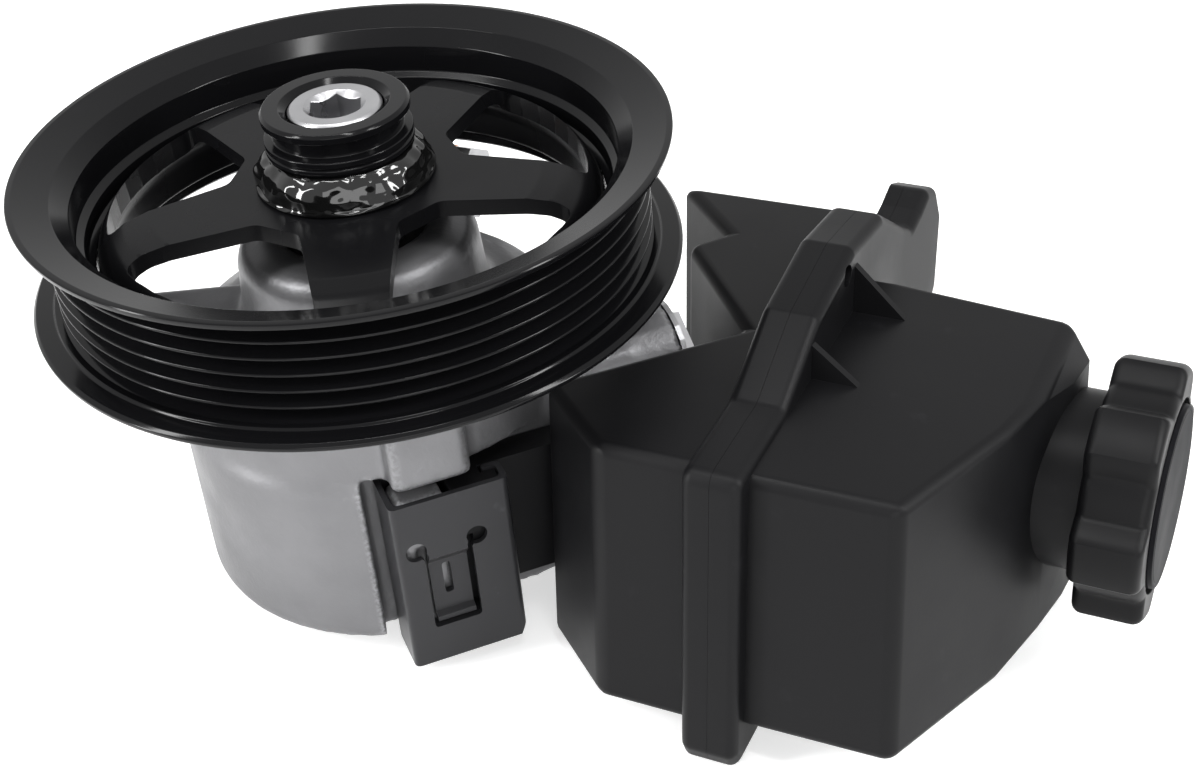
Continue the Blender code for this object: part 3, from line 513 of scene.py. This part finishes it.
def lathe(name, profile, steps):
    """Solid of revolution about Z from (radius, height) points, outer side top to bottom."""
    mesh = bpy.data.meshes.new(name)
    edges = [(i, (i + 1) % len(profile)) for i in range(len(profile))]
    if profile[0][0] == 0 and profile[-1][0] == 0:
        edges.pop()
    mesh.from_pydata([(x * MM, 0, z * MM) for x, z in profile], edges, [])
    made = link(name, mesh)
    screw = made.modifiers.new("Screw", "SCREW")
    screw.axis = "Z"
    screw.angle = math.radians(360)
    screw.steps = steps
    screw.render_steps = steps
    screw.use_merge_vertices = True
    screw.merge_threshold = 0.000002
    return bake(made)


def plate(name, outlines, z0, z1):
    """Flat piece between two heights; further outlines are holes or islands."""
    curve = bpy.data.curves.new(name, "CURVE")
    curve.dimensions = "2D"
    curve.fill_mode = "BOTH"
    curve.extrude = (z1 - z0) * MM / 2
    for outline in outlines:
        spline = curve.splines.new("POLY")
        spline.points.add(len(outline) - 1)
        for point, (x, y) in zip(spline.points, outline):
            point.co = (x * MM, y * MM, 0, 1)
        spline.use_cyclic_u = True
    made = bake(link(name, curve))
    work = bmesh.new()
    work.from_mesh(made.data)
    bmesh.ops.dissolve_limit(work, angle_limit=0.0005, verts=work.verts, edges=work.edges)
    work.to_mesh(made.data)
    work.free()
    return moved(made, shift(0, 0, (z0 + z1) / 2))


def block(name, x, y, z):
    """Box from three ranges."""
    return plate(name, [[(x[0], y[0]), (x[1], y[0]), (x[1], y[1]), (x[0], y[1])]], z[0], z[1])


def rod(name, radius, x0, x1, steps=64):
    """Cylinder along X, centred on the axis."""
    return moved(plate(name, [circle(radius, steps)], x0, x1), ALONG_X)


def inset(points, gap):
    """Outline moved inward by a gap; the points run anticlockwise."""
    found = []
    for i, here in enumerate(points):
        corner = Vector(here)
        into = (corner - Vector(points[i - 1])).normalized()
        out = (Vector(points[(i + 1) % len(points)]) - corner).normalized()
        side_in = Vector((-into.y, into.x))
        side_out = Vector((-out.y, out.x))
        point = corner + (side_in + side_out) * gap / (1 + side_in.dot(side_out))
        found.append((point.x, point.y))
    return found


def polar(radius, degrees):
    """Point at a radius and an angle."""
    return (radius * math.cos(math.radians(degrees)), radius * math.sin(math.radians(degrees)))


def circle(radius, steps, start=0.0, centre=(0, 0)):
    """Points of a circle."""
    found = [polar(radius, start + 360 * i / steps) for i in range(steps)]
    return [(x + centre[0], y + centre[1]) for x, y in found]


def combine(made, other, operation):
    """Boolean with another object, which is used up."""
    tool = made.modifiers.new("Boolean", "BOOLEAN")
    tool.solver = "EXACT"
    tool.operation = operation
    tool.object = other
    result = bake(made)
    bpy.data.objects.remove(other, do_unlink=True)
    return result


def join(made, *others):
    """Union with each of the others in turn."""
    for other in others:
        made = combine(made, other, "UNION")
    return made


def cut(made, *others):
    """Take each of the others away in turn."""
    for other in others:
        made = combine(made, other, "DIFFERENCE")
    return made


def soften(made, width, segments=3, angle=35):
    """Round the sharp edges."""
    bevel = made.modifiers.new("Bevel", "BEVEL")
    bevel.limit_method = "ANGLE"
    bevel.angle_limit = math.radians(angle)
    bevel.width = width * MM
    bevel.segments = segments
    return bake(made)


def dress(made, node, smooth=35, paint=None):
    """Finish, shading and body of the piece that shows a CAD node."""
    made.data.materials.clear()
    made.data.materials.append(FINISHES[paint or SLOTS[node]])
    for face in made.data.polygons:
        face.use_smooth = True
    if smooth < 180:
        made.data.set_sharp_from_angle(angle=math.radians(smooth))
    weighted = made.modifiers.new("Weighted normals", "WEIGHTED_NORMAL")
    weighted.keep_sharp = True
    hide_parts(node)
    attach(made, BODIES[node])
    return made


# Pump body

def housing():
    """Casting: the frame's own solid under a finer turned skin, remeshed for rounded corners."""
    made = link("pump_housing_cast", frame["nodes"]["pump_housing"].data.copy())
    clean(made.data)
    outside = [
        (NOSE_R - 1.6, NOSE_TOP - 1.6), (NOSE_R, NOSE_TOP - 4.5), (NOSE_R + 1, 60.5),
        (28.5, 57.5), (34.0, 56.3), (BODY_R - 4.4, 54.2), (BODY_R - 2, 50.5),
        (BODY_R - 1.4, 41.5), (BODY_R, 38.5), (BODY_R, 2.8),
    ]
    outside = rounded(outside, 5.0, 6, closed=False)
    inside = [(x - SKIN, z) for x, z in reversed(outside)]
    skin = lathe("skin", outside + inside, 144)
    pocket = moved(block("pocket", POCKET_A, (POCKET_T, 60), (-3, POCKET_TOP)), ATTACH)
    hole = moved(plate("boss hole", [circle(BOSS_HOLE_R, 32, 0, BOSS_HOLE)], 46, 63), ATTACH)
    valve = moved(plate("valve way", [circle(VALVE_R + SKIN_CLEAR, 48)], VALVE_BORE[0], 62), VALVE)
    inlet = moved(plate("inlet way", [circle(INLET_R + SKIN_CLEAR, 48)], 38.4, 70), INLET)
    pads = []
    for angle in PAD_ANGLES:
        pad_hole = plate("pad hole", [circle(BOSS_HOLE_R, 32, 0, (BODY_R, 0))], 44, 63)
        pads.append(moved(pad_hole, turn_z(angle)))
    made = join(made, cut(skin, pocket, hole, valve, inlet, *pads))
    remesh = made.modifiers.new("Remesh", "REMESH")
    remesh.mode = "VOXEL"
    remesh.voxel_size = HOUSING_VOXEL * MM
    blur = made.modifiers.new("Smooth", "SMOOTH")
    blur.factor = HOUSING_BLUR
    blur.iterations = HOUSING_BLUR_STEPS
    return dress(rebore(bake(made)), "pump_housing", smooth=180)


def rebore(made):
    """Push the remeshed wall of the valve bore back, so that the spool slides free."""
    into = VALVE.inverted()
    wall = VALVE_R * MM
    for vertex in made.data.vertices:
        point = into @ vertex.co
        reach = math.hypot(point.x, point.y)
        along = VALVE_BORE[0] * MM < point.z < VALVE_BORE[1] * MM
        if along and wall - BORE_BULGE * MM < reach < wall:
            grow = wall / reach
            vertex.co = VALVE @ Vector((point.x * grow, point.y * grow, point.z))
    return made


def spring():
    """Spring of the flow valve, its coil copied from the frame; the spool moves against it."""
    node = frame["nodes"]["flow_valve_spring"]
    made = link("flow_valve_spring_wire", node.data.copy())
    made.matrix_world = node.matrix_world.copy()
    dress(made, "flow_valve_spring", smooth=60)
    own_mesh(made)


def clip():
    """Sheet-steel clip with rounded bends and broken edges."""
    front = CLIP_T
    back = CLIP_T - CLIP_THICK
    side = CLIP_A - CLIP_THICK
    left_hook, right_hook = CLIP_HOOKS
    left_end, right_end = CLIP_HOOK_ENDS
    outline = [
        (left_end, left_hook), (-CLIP_A, left_hook), (-CLIP_A, front), (CLIP_A, front),
        (CLIP_A, right_hook), (right_end, right_hook), (right_end, right_hook + CLIP_THICK),
        (side, right_hook + CLIP_THICK), (side, back), (-side, back),
        (-side, left_hook + CLIP_THICK), (left_end, left_hook + CLIP_THICK),
    ]
    made = plate("front_clip_bent", [rounded(outline, CLIP_BEND, 5)], *CLIP_Z)
    left, right = WINDOW_A
    low, high = WINDOW_Z
    window = [(left, low), (right, low), (right, high), (left, high)]
    holes = [rounded(window, WINDOW_ROUND, 4)]
    holes += [circle(EAR_HOLE_R, 40, 0, centre) for centre in EAR_HOLES]
    upright = Matrix.Rotation(math.radians(90), 4, "X")
    punch = moved(plate("punch", holes, *CLIP_PUNCH), upright)
    corner = moved(plate("corner", [[(14, 4), (10.5, -3), (14, -3)]], -60, -30), upright)
    ears = [moved(plate("ear", [rounded(ear, 0.8, 3)], *CLIP_PUNCH), upright) for ear in EARS]
    made = cut(made, punch, corner, *ears)
    profile = [
        (front, 27.0), (back, 27.0), (back, 25.4), (back - TONGUE_SINK, 22.9),
        (back - TONGUE_SINK, 7.6), (front - TONGUE_LIP, 7.6), (front - TONGUE_LIP, 8.8),
        (front - TONGUE_SINK, 9.4), (front - TONGUE_SINK, 22.4), (front, 24.9),
    ]
    tongue = moved(plate("tongue", [profile], *TONGUE_A), FACE_ON)
    slot = plate("slot", [rounded(TONGUE_SLOT, 0.8, 4)], 44, 47)
    # The ledge keeps light from below out of the window
    ledge = block("ledge", (-6.9, 9.0), (back - 6, back + 0.2), (6.1, 6.95))
    made = join(made, cut(tongue, moved(slot, UPRIGHT)), ledge)
    return dress(soften(moved(made, ATTACH), 0.22, 2, 50), "front_clip", smooth=32)


# Reservoir

def flange(r0, r1):
    """One half of the flange between two stations, with rounded edges."""
    outline = rounded(FLANGE_OUTLINE, FLANGE_CORNER, 5)
    whole = soften(plate("flange", [outline], *FLANGE_FACES), FLANGE_ROUND, 5)
    moved(whole, FACE_ON)
    return cut(whole, block("halving", (r0, r1), (-60, 120), (-40, 100)))


def spread(made):
    """Widen the outer end of the tank towards its foot."""
    for vertex in made.data.vertices:
        beyond = vertex.co.x / MM - TANK_SPREAD_FROM
        if beyond > 0:
            vertex.co.x += beyond * TANK_SPREAD * (TANK_Z[1] * MM - vertex.co.z)
    return made


def cavity(outline, levels, r_open):
    """Hollow of a tank half, open at the seam."""
    inner = inset(outline, TANK_WALL)
    inner = [(r_open if (84 < x < 97) else min(x, TANK_END_INSIDE), y) for x, y in inner]
    hollow = plate("cavity", [inner], levels[0] + TANK_WALL, levels[1] - TANK_WALL)
    return moved(spread(hollow), LEAN)


def inner_half():
    """Tank half beside the pump."""
    box = soften(plate("inner_half_moulded", [LEFT_BOX], *TANK_INNER_Z), TANK_ROUND, 5)
    thin_ear = block("thin ear", (80, EAR_FACE), (73.5, 110), (25, 100))
    half = moved(join(box, cut(flange(SEAM_R - SEAM_GAP / 2, 200), thin_ear)), LEAN)
    place = shift(*NIPPLE_AT) @ turn_z(-90)
    nipple = moved(rod("nipple", NIPPLE_R, -NIPPLE_END, -64), place)
    ridge = moved(rod("ridge", NIPPLE_R + 0.9, 3 - NIPPLE_END, 6 - NIPPLE_END), place)
    hole = moved(rod("hole", NIPPLE_R - 1.8, -NIPPLE_END - 4, -60), place)
    half = join(half, nipple, ridge)
    hollow = cavity(LEFT_BOX, TANK_INNER_Z, SEAM_R + 2)
    half = moved(cut(half, hollow, hole), RESERVOIR)
    spigot = [
        (0, 66.5), (INLET_R - FIT, 66.5), (INLET_R - FIT, 45.0), (INLET_R - 2.3, 45.0),
        (INLET_R - 2.3, 42.0), (INLET_R - FIT, 42.0), (INLET_R - FIT, 40.0), (0, 40.0),
    ]
    spigot = moved(lathe("spigot", spigot, 64), INLET)
    bore = moved(plate("bore", [circle(6.0, 48)], 38, 70), INLET)
    arm = block("arm", (0.6, 32), (35.0, 41.2), (8, 39))
    neck = block("arm neck", (0.6, 8.0), (40.5, 44.5), (8, 39))
    head = block("arm head", (0.6, 10.9), (43.5, RAIL_T), (8, 39))
    web = block("arm web", (25.0, 32), (36, 52), (8, 39))
    arm = soften(join(arm, neck, head, web), 0.4, 2, 50)
    arm = moved(cut(arm, block("notch", (-1, 4.0), (44.2, 50), (6.5, 27))), ATTACH)
    half = cut(join(half, arm, spigot), bore)
    return dress(soften(half, 0.3, 2, 55), "reservoir_inner_half", smooth=30)


def gusset(d, foot, top):
    """Triangular rib between the top of the tank and the flange."""
    outline = [(94, 52), (foot, 52), (foot, 54.6), (96.0, top), (94, top)]
    rib = plate("gusset", [outline], d - GUSSET_HALF, d + GUSSET_HALF)
    return moved(rib, UPRIGHT)


def outer_half():
    """Tank half with the filler neck."""
    box = plate("outer_half_moulded", [RIGHT_BOX], *TANK_Z)
    brow = moved(plate("brow", [TANK_BROW], -60, 80), UPRIGHT)
    box = spread(soften(cut(box, brow), TANK_ROUND, 5))
    seam = flange(0, SEAM_R + SEAM_GAP / 2)
    half = join(box, seam, *[gusset(*sizes) for sizes in GUSSETS])
    hole = moved(rod("flange hole", FLANGE_HOLE_R, 92.5, 99, 40), shift(0, *FLANGE_HOLE))
    half = moved(cut(half, hole), LEAN)
    half = moved(cut(half, cavity(RIGHT_BOX, TANK_Z, SEAM_R - 2)), RESERVOIR)
    neck = moved(plate("neck", [circle(NECK_R, 96)], NECK_ROOT, NECK_END), CAP)
    bore = [
        (0, NECK_END + 3), (NECK_BORE_R, NECK_END + 3), (NECK_BORE_R, NECK_ROOT + 8),
        (NECK_ROOT_BORE_R, NECK_ROOT + 6), (NECK_ROOT_BORE_R, NECK_ROOT - 1.2), (0, NECK_ROOT - 1.2),
    ]
    half = cut(join(half, neck), moved(lathe("neck bore", bore, 96), CAP))
    return dress(soften(half, 0.3, 2, 55), "reservoir_outer_half", smooth=30)


# Pulley and shaft

def rim():
    """Spun rim with rounded ribs and lips."""
    top = [(65.2, LIP_Z), (LIP_R, LIP_Z), (66.2, 6.1), (RIB_TIP_R + 0.3, 3.7)]
    ribs = []
    for k in range(RIB_COUNT):
        root = RIB_PITCH * (0.5 - k)
        ribs += [
            (RIB_TIP_R, root + RIB_PITCH * RIB_TIP_SHARE),
            (RIB_ROOT_R, root + RIB_PITCH * RIB_ROOT_SHARE),
            (RIB_ROOT_R, root - RIB_PITCH * RIB_ROOT_SHARE),
            (RIB_TIP_R, root - RIB_PITCH * RIB_TIP_SHARE),
        ]
    foot = [
        (RIB_TIP_R + 1.4, -17.4), (RIB_TIP_R + 1.8, -17.95), (66.4, -18.1), (FLANGE_R, -18.8),
        (66.9, -19.8), (53.0, -20.0),
    ]
    inner = [
        (SEAT_R, -19.2), (SEAT_R, -9.0), (53.6, -8.0), (53.6, -5.0), (55.2, -4.0), (55.2, 2.0),
        (58.4, 5.2),
    ]
    profile = rounded([(x, z + PULLEY_Z) for x, z in top + ribs + foot + inner], 0.45, 3)
    return dress(lathe("pulley_rim_turned", profile, 192), "pulley_rim", smooth=40)


def window_outline(k):
    """Opening between two spokes."""
    left = SPOKE_ANGLE + 72 * k
    right = left + 72
    ends = []
    for radius, width in ((WINDOW_IN, SPOKE_IN), (WINDOW_OUT, SPOKE_OUT)):
        bite = math.degrees(math.asin(width / 2 / radius))
        ends.append((radius, left + bite, right - bite))
    (near, near_left, near_right), (far, far_left, far_right) = ends
    outline = [polar(near, near_left), polar(far, far_left)]
    outline += [polar(far, far_left + (far_right - far_left) * s / 8) for s in range(1, 8)]
    outline += [polar(far, far_right), polar(near, near_right)]
    return rounded(outline, 3.5, 5)


def spider():
    """Pressed dish with softened window edges."""
    outer = SEAT_R - FIT
    inner = outer - 2.4
    profile = [
        (HUB_SPIGOT_R + FIT, 0), (40, 0), (45, -0.8), (49, -3), (51.3, -6.5), (outer, -10),
        (outer, SPIDER_BOTTOM), (inner, SPIDER_BOTTOM), (inner, -10), (48.9, -7.7), (47, -5.4),
        (44, -4), (40, -SPIDER_THICK), (HUB_SPIGOT_R + FIT, -SPIDER_THICK),
    ]
    profile = [(x, z + PULLEY_Z) for x, z in rounded(profile, SPIDER_BEND, 6)]
    made = lathe("pulley_spider_pressed", profile, 160)
    windows = plate("windows", [window_outline(k) for k in range(5)], PULLEY_Z - 9, PULLEY_Z + 5)
    made = soften(cut(made, windows), 0.45, 2, 50)
    return dress(made, "pulley_spider", smooth=32, paint="satin_black_paint")


def hub():
    """Turned hub with its groove and fine lines."""
    bore = SHAFT_R + FIT
    profile = [
        (11.2, HUB_TOP), (14.4, HUB_TOP), (HUB_R, HUB_TOP - 0.6), (HUB_R, 14.4), (13.2, 14.0),
        (13.2, 10.8), (HUB_R, 10.5), (HUB_R, 9.3), (14.5, 9.0), (HUB_R, 8.7),
        (HUB_R, WELD_TOP + 0.6), (HUB_NECK_R, WELD_TOP + 0.3), (HUB_NECK_R, FIT),
        (HUB_SPIGOT_R, FIT), (HUB_SPIGOT_R, HUB_FOOT), (bore, HUB_FOOT), (bore, HUB_TOP - 1.3),
    ]
    profile = rounded([(x, z + PULLEY_Z) for x, z in profile], 0.3, 3)
    return dress(lathe("pulley_hub_turned", profile, 128), "pulley_hub", smooth=40)


def held(value):
    """Value kept between nothing and one."""
    return max(0.0, min(1.0, value))


def dense(points, step):
    """Profile with further points along its long sides."""
    found = []
    for i, (x, y) in enumerate(points):
        u, v = points[(i + 1) % len(points)]
        parts = max(1, math.ceil(math.hypot(u - x, v - y) / step))
        found += [(x + (u - x) * k / parts, y + (v - y) * k / parts) for k in range(parts)]
    return found


def weld():
    """Weld bead, lumpy as the torch leaves it."""
    inner = HUB_NECK_R + FIT
    section = [
        (inner, WELD_TOP), (inner + 1.3, WELD_TOP - 0.1), (WELD_R - 1.4, 5.6),
        (WELD_R - 0.3, 3.2), (WELD_R, 1.2), (WELD_R - 0.4, FIT + 0.05), (inner, FIT + 0.05),
    ]
    section = dense(rounded(section, 2.0, 6), 0.35)
    made = lathe("hub_weld_bead", [(x, z + PULLEY_Z) for x, z in section], 300)
    for vertex in made.data.vertices:
        radius = math.hypot(vertex.co.x, vertex.co.y) / MM
        height = vertex.co.z / MM - PULLEY_Z
        share = held((radius - inner - 0.2) / 1.2) * held((height - 0.4) / 1.0)
        around = Vector((vertex.co.x, vertex.co.y, 0)).normalized()
        place = vertex.co / MM
        lumps = noise3(place * 0.17)
        ripples = noise3(place * 0.34 + Vector((7, 0, 0)))
        push = share * (0.9 * lumps + 0.4 * ripples - 0.55)
        vertex.co += around * min(push, 0) * MM
        vertex.co.z += share * (0.7 * lumps + 0.3 * ripples) * MM
    return dress(made, "hub_weld", smooth=180, paint="weld_paint")


def shaft():
    """Shaft end with its hexagon socket and countersunk mouth."""
    top = PULLEY_Z + SHAFT_END
    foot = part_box("drive_shaft")[0].z / MM
    profile = [
        (0, top), (8.9, top), (SHAFT_R, top - 0.6), (SHAFT_R, 52.2), (8.0, 51.4), (8.0, 23.8),
        (7.2, 23.8), (7.2, 22.4), (8.0, 22.4), (8.0, foot + 1), (7.0, foot), (0, foot),
    ]
    made = lathe("drive_shaft_turned", rounded(profile, 0.25, 2, closed=False), 96)
    socket = plate("socket", [circle(SOCKET_FLATS / math.sqrt(3), 6, 90)], top - 9, top + 1)
    mouth = [(0, top + 1), (7.3, top + 1), (6.3, top), (4.6, top - 1.7), (0, top - 1.7)]
    made = cut(made, socket, lathe("mouth", mouth, 96))
    return dress(soften(made, 0.12, 2, 30), "drive_shaft", smooth=25)


# Cap and fitting

def cap_outline(per_lobe):
    """Six flat lobes with round scallops between them."""
    found = []
    steps = per_lobe * CAP_LOBES
    for i in range(steps):
        wave = math.cos(math.tau * i * CAP_LOBES / steps)
        share = held(0.55 + 1.1 * wave)
        radius = CAP_DIP_R + (CAP_LOBE_R - CAP_DIP_R) * share
        found.append((radius, CAP_LOBE_PHASE + 360 * i / steps))
    return found


def rounded_prism(name, outline, z0, z1, radius, steps=6):
    """Prism about Z with both ends rounded, from an outline of (radius, angle) points."""
    levels = []
    for k in range(steps + 1):
        bend = math.radians(90 * k / steps)
        levels.append((z0 + radius * (1 - math.sin(bend)), radius * (1 - math.cos(bend))))
    levels = levels[::-1] + [(z0 + z1 - z, pull) for z, pull in levels]
    count = len(outline)
    points = []
    for z, pull in levels:
        for reach, angle in outline:
            x, y = polar(reach - pull, angle)
            points.append((x * MM, y * MM, z * MM))
    faces = []
    for k in range(len(levels) - 1):
        for i in range(count):
            j = (i + 1) % count
            faces.append((k * count + i, k * count + j, (k + 1) * count + j, (k + 1) * count + i))
    faces.append(tuple(range(count))[::-1])
    faces.append(tuple(range(count * (len(levels) - 1), count * len(levels))))
    mesh = bpy.data.meshes.new(name)
    mesh.from_pydata(points, [], faces)
    clean(mesh)
    return link(name, mesh)


def cap():
    """Knob of the filler cap, hollow over the neck and recessed for its disc."""
    front = CAP_BACK + CAP_DEPTH
    made = rounded_prism("filler_cap_knob", cap_outline(40), CAP_BACK, front, CAP_ROUND)
    cup = plate("cup", [circle(NECK_R + 0.4, 96)], CAP_BACK - 3, NECK_END + 2.2)
    recess = plate("recess", [circle(CAP_RECESS_R, 144)], front - CAP_RECESS, front + 3)
    made = soften(cut(made, cup, recess), 0.35, 3, 50)
    return dress(moved(made, CAP), "filler_cap", smooth=30, paint="cap_plastic")


def cap_disc():
    """Bare disc that stands a little proud of the knob, with a rolled edge."""
    front = CAP_BACK + CAP_DEPTH
    face = front + CAP_DISC_PROUD
    low = front - CAP_RECESS + FIT
    profile = [
        (0, face), (CAP_DISC_R - 1.5, face), (CAP_DISC_R - 1.25, face - 0.12),
        (CAP_DISC_R - 1.0, face), (CAP_DISC_R - 0.3, face - 0.1), (CAP_DISC_R, face - 0.9),
        (CAP_DISC_R, low), (0, low),
    ]
    made = lathe("cap_disc_plain", rounded(profile, 0.25, 3, closed=False), 144)
    return dress(moved(made, CAP), "cap_disc", smooth=40, paint="disc_plastic")


def fitting():
    """Pressure fitting and copper washer behind the pulley."""
    face = OUTLET_FACE + FIT
    seat = face + 1.3 + FIT
    stem = [
        (2.4, 6.0), (5.2, 6.0), (5.6, 5.4), (5.6, seat + 4), (4.4, seat + 3), (4.4, -25),
        (2.4, -25),
    ]
    made = lathe("outlet_fitting_turned", rounded(stem, 0.2, 2), 64)
    hexagon = soften(plate("hexagon", [circle(9.2, 6), circle(3.0, 48)], seat, seat + 6), 0.4, 2)
    dress(moved(join(made, hexagon), OUTLET), "outlet_fitting", smooth=30)
    washer = rounded([(4.9, face + 1.3), (8.2, face + 1.3), (8.2, face), (4.9, face)], 0.35, 3)
    made = moved(lathe("copper_washer", washer, 72), OUTLET)
    return dress(made, "outlet_sealing_washer", smooth=40)


# Carried-over CAD pieces

def paint_frame():
    """Every CAD node gets its finish, also those that hardly show."""
    for node, piece in frame["nodes"].items():
        piece.data.materials.clear()
        piece.data.materials.append(FINISHES[SLOTS[node]])


# Stage

def seen_rays(tree):
    """One for rays that see the stage: from the camera, in a gloss or through clear matter."""
    path = tree.nodes.new("ShaderNodeLightPath")
    total = path.outputs["Is Camera Ray"]
    for name in ("Is Glossy Ray", "Is Transmission Ray"):
        either = tree.nodes.new("ShaderNodeMath")
        either.operation = "MAXIMUM"
        tree.links.new(total, either.inputs[0])
        tree.links.new(path.outputs[name], either.inputs[1])
        total = either.outputs[0]
    return total


def floor():
    """Pale floor that leans as the table does under the resting pump."""
    bpy.ops.mesh.primitive_plane_add(size=FLOOR_SIZE)
    made = bpy.context.object
    made.name = "floor"
    rest = Vector((-BODY_R * MM, 0, 0))
    foot = Vector((SEAM_R * MM, 0, CAD_BOX[0][2]))
    lean = math.atan2(rest.z - foot.z, foot.x - rest.x)
    lower = Matrix.Translation(rest - Vector((0, 0, FLOOR_GAP * MM)))
    made.matrix_world = RESERVOIR @ lower @ Matrix.Rotation(lean, 4, "Y")
    material = bpy.data.materials.new("floor")
    material.use_nodes = True
    tree = material.node_tree
    tree.nodes.clear()
    out = tree.nodes.new("ShaderNodeOutputMaterial")
    both = tree.nodes.new("ShaderNodeAddShader")
    matt = tree.nodes.new("ShaderNodeBsdfDiffuse")
    matt.inputs["Color"].default_value = (FLOOR_GREY, FLOOR_GREY, FLOOR_GREY, 1)
    glow = tree.nodes.new("ShaderNodeEmission")
    seen = seen_rays(tree)
    lift = tree.nodes.new("ShaderNodeMath")
    lift.operation = "MULTIPLY"
    lift.inputs[1].default_value = FLOOR_LIFT
    tree.links.new(seen, lift.inputs[0])
    tree.links.new(lift.outputs[0], glow.inputs["Strength"])
    tree.links.new(matt.outputs[0], both.inputs[0])
    tree.links.new(glow.outputs[0], both.inputs[1])
    tree.links.new(both.outputs[0], out.inputs["Surface"])
    made.data.materials.append(material)


def world():
    """Even grey light, white where the camera looks past the floor."""
    made = bpy.data.worlds.new("studio")
    bpy.context.scene.world = made
    made.use_nodes = True
    tree = made.node_tree
    sky = tree.nodes["Background"]
    sky.inputs["Color"].default_value = (1, 1, 1, 1)
    strength = tree.nodes.new("ShaderNodeMapRange")
    strength.inputs["To Min"].default_value = WORLD_LIGHT
    strength.inputs["To Max"].default_value = WORLD_SEEN
    tree.links.new(seen_rays(tree), strength.inputs["Value"])
    tree.links.new(strength.outputs["Result"], sky.inputs["Strength"])


def area_light(name, place, target, width, height, power):
    """Soft box aimed at a point, millimetres in."""
    data = bpy.data.lights.new(name, "AREA")
    data.shape = "RECTANGLE"
    data.size = width * MM
    data.size_y = height * MM
    data.energy = power
    made = bpy.data.objects.new(name, data)
    bpy.context.scene.collection.objects.link(made)
    aim = (Vector(target) - Vector(place)).normalized()
    made.matrix_world = shift(*place) @ aim.to_track_quat("-Z", "Y").to_matrix().to_4x4()


def camera():
    """Camera at the photo's viewing angle."""
    pitch = math.radians(CAMERA_PITCH)
    roll = math.radians(CAMERA_ROLL)
    forward = Vector((0, math.cos(pitch), -math.sin(pitch)))
    right = Vector((1, 0, 0))
    down = forward.cross(right)
    across = math.cos(roll) * right + math.sin(roll) * down
    below = -math.sin(roll) * right + math.cos(roll) * down
    data = bpy.data.cameras.new("camera")
    data.sensor_fit = "HORIZONTAL"
    data.sensor_width = CAMERA_SENSOR
    data.lens = CAMERA_LENS
    data.clip_start = 0.01
    made = bpy.data.objects.new("camera", data)
    bpy.context.scene.collection.objects.link(made)
    turn = Matrix((across, -below, -forward)).transposed().to_4x4()
    made.matrix_world = shift(*CAMERA_PLACE) @ turn
    bpy.context.scene.camera = made


paint_frame()
camera()
rim()
spider()
hub()
weld()
shaft()
cap()
cap_disc()
fitting()
housing()
spring()
clip()
inner_half()
outer_half()
floor()
world()
area_light("top strip", (-100, -120, 900), (0, 0, 60), width=950, height=60, power=5)
area_light("left strip", (-750, -250, 420), (0, 0, 40), width=110, height=800, power=8)
area_light("right strip", (700, -300, 520), (90, -40, 20), width=100, height=700, power=6)
area_light("front fill", (100, -900, 300), (60, 0, 30), width=900, height=400, power=4)
bpy.context.scene.view_settings.view_transform = "Standard"
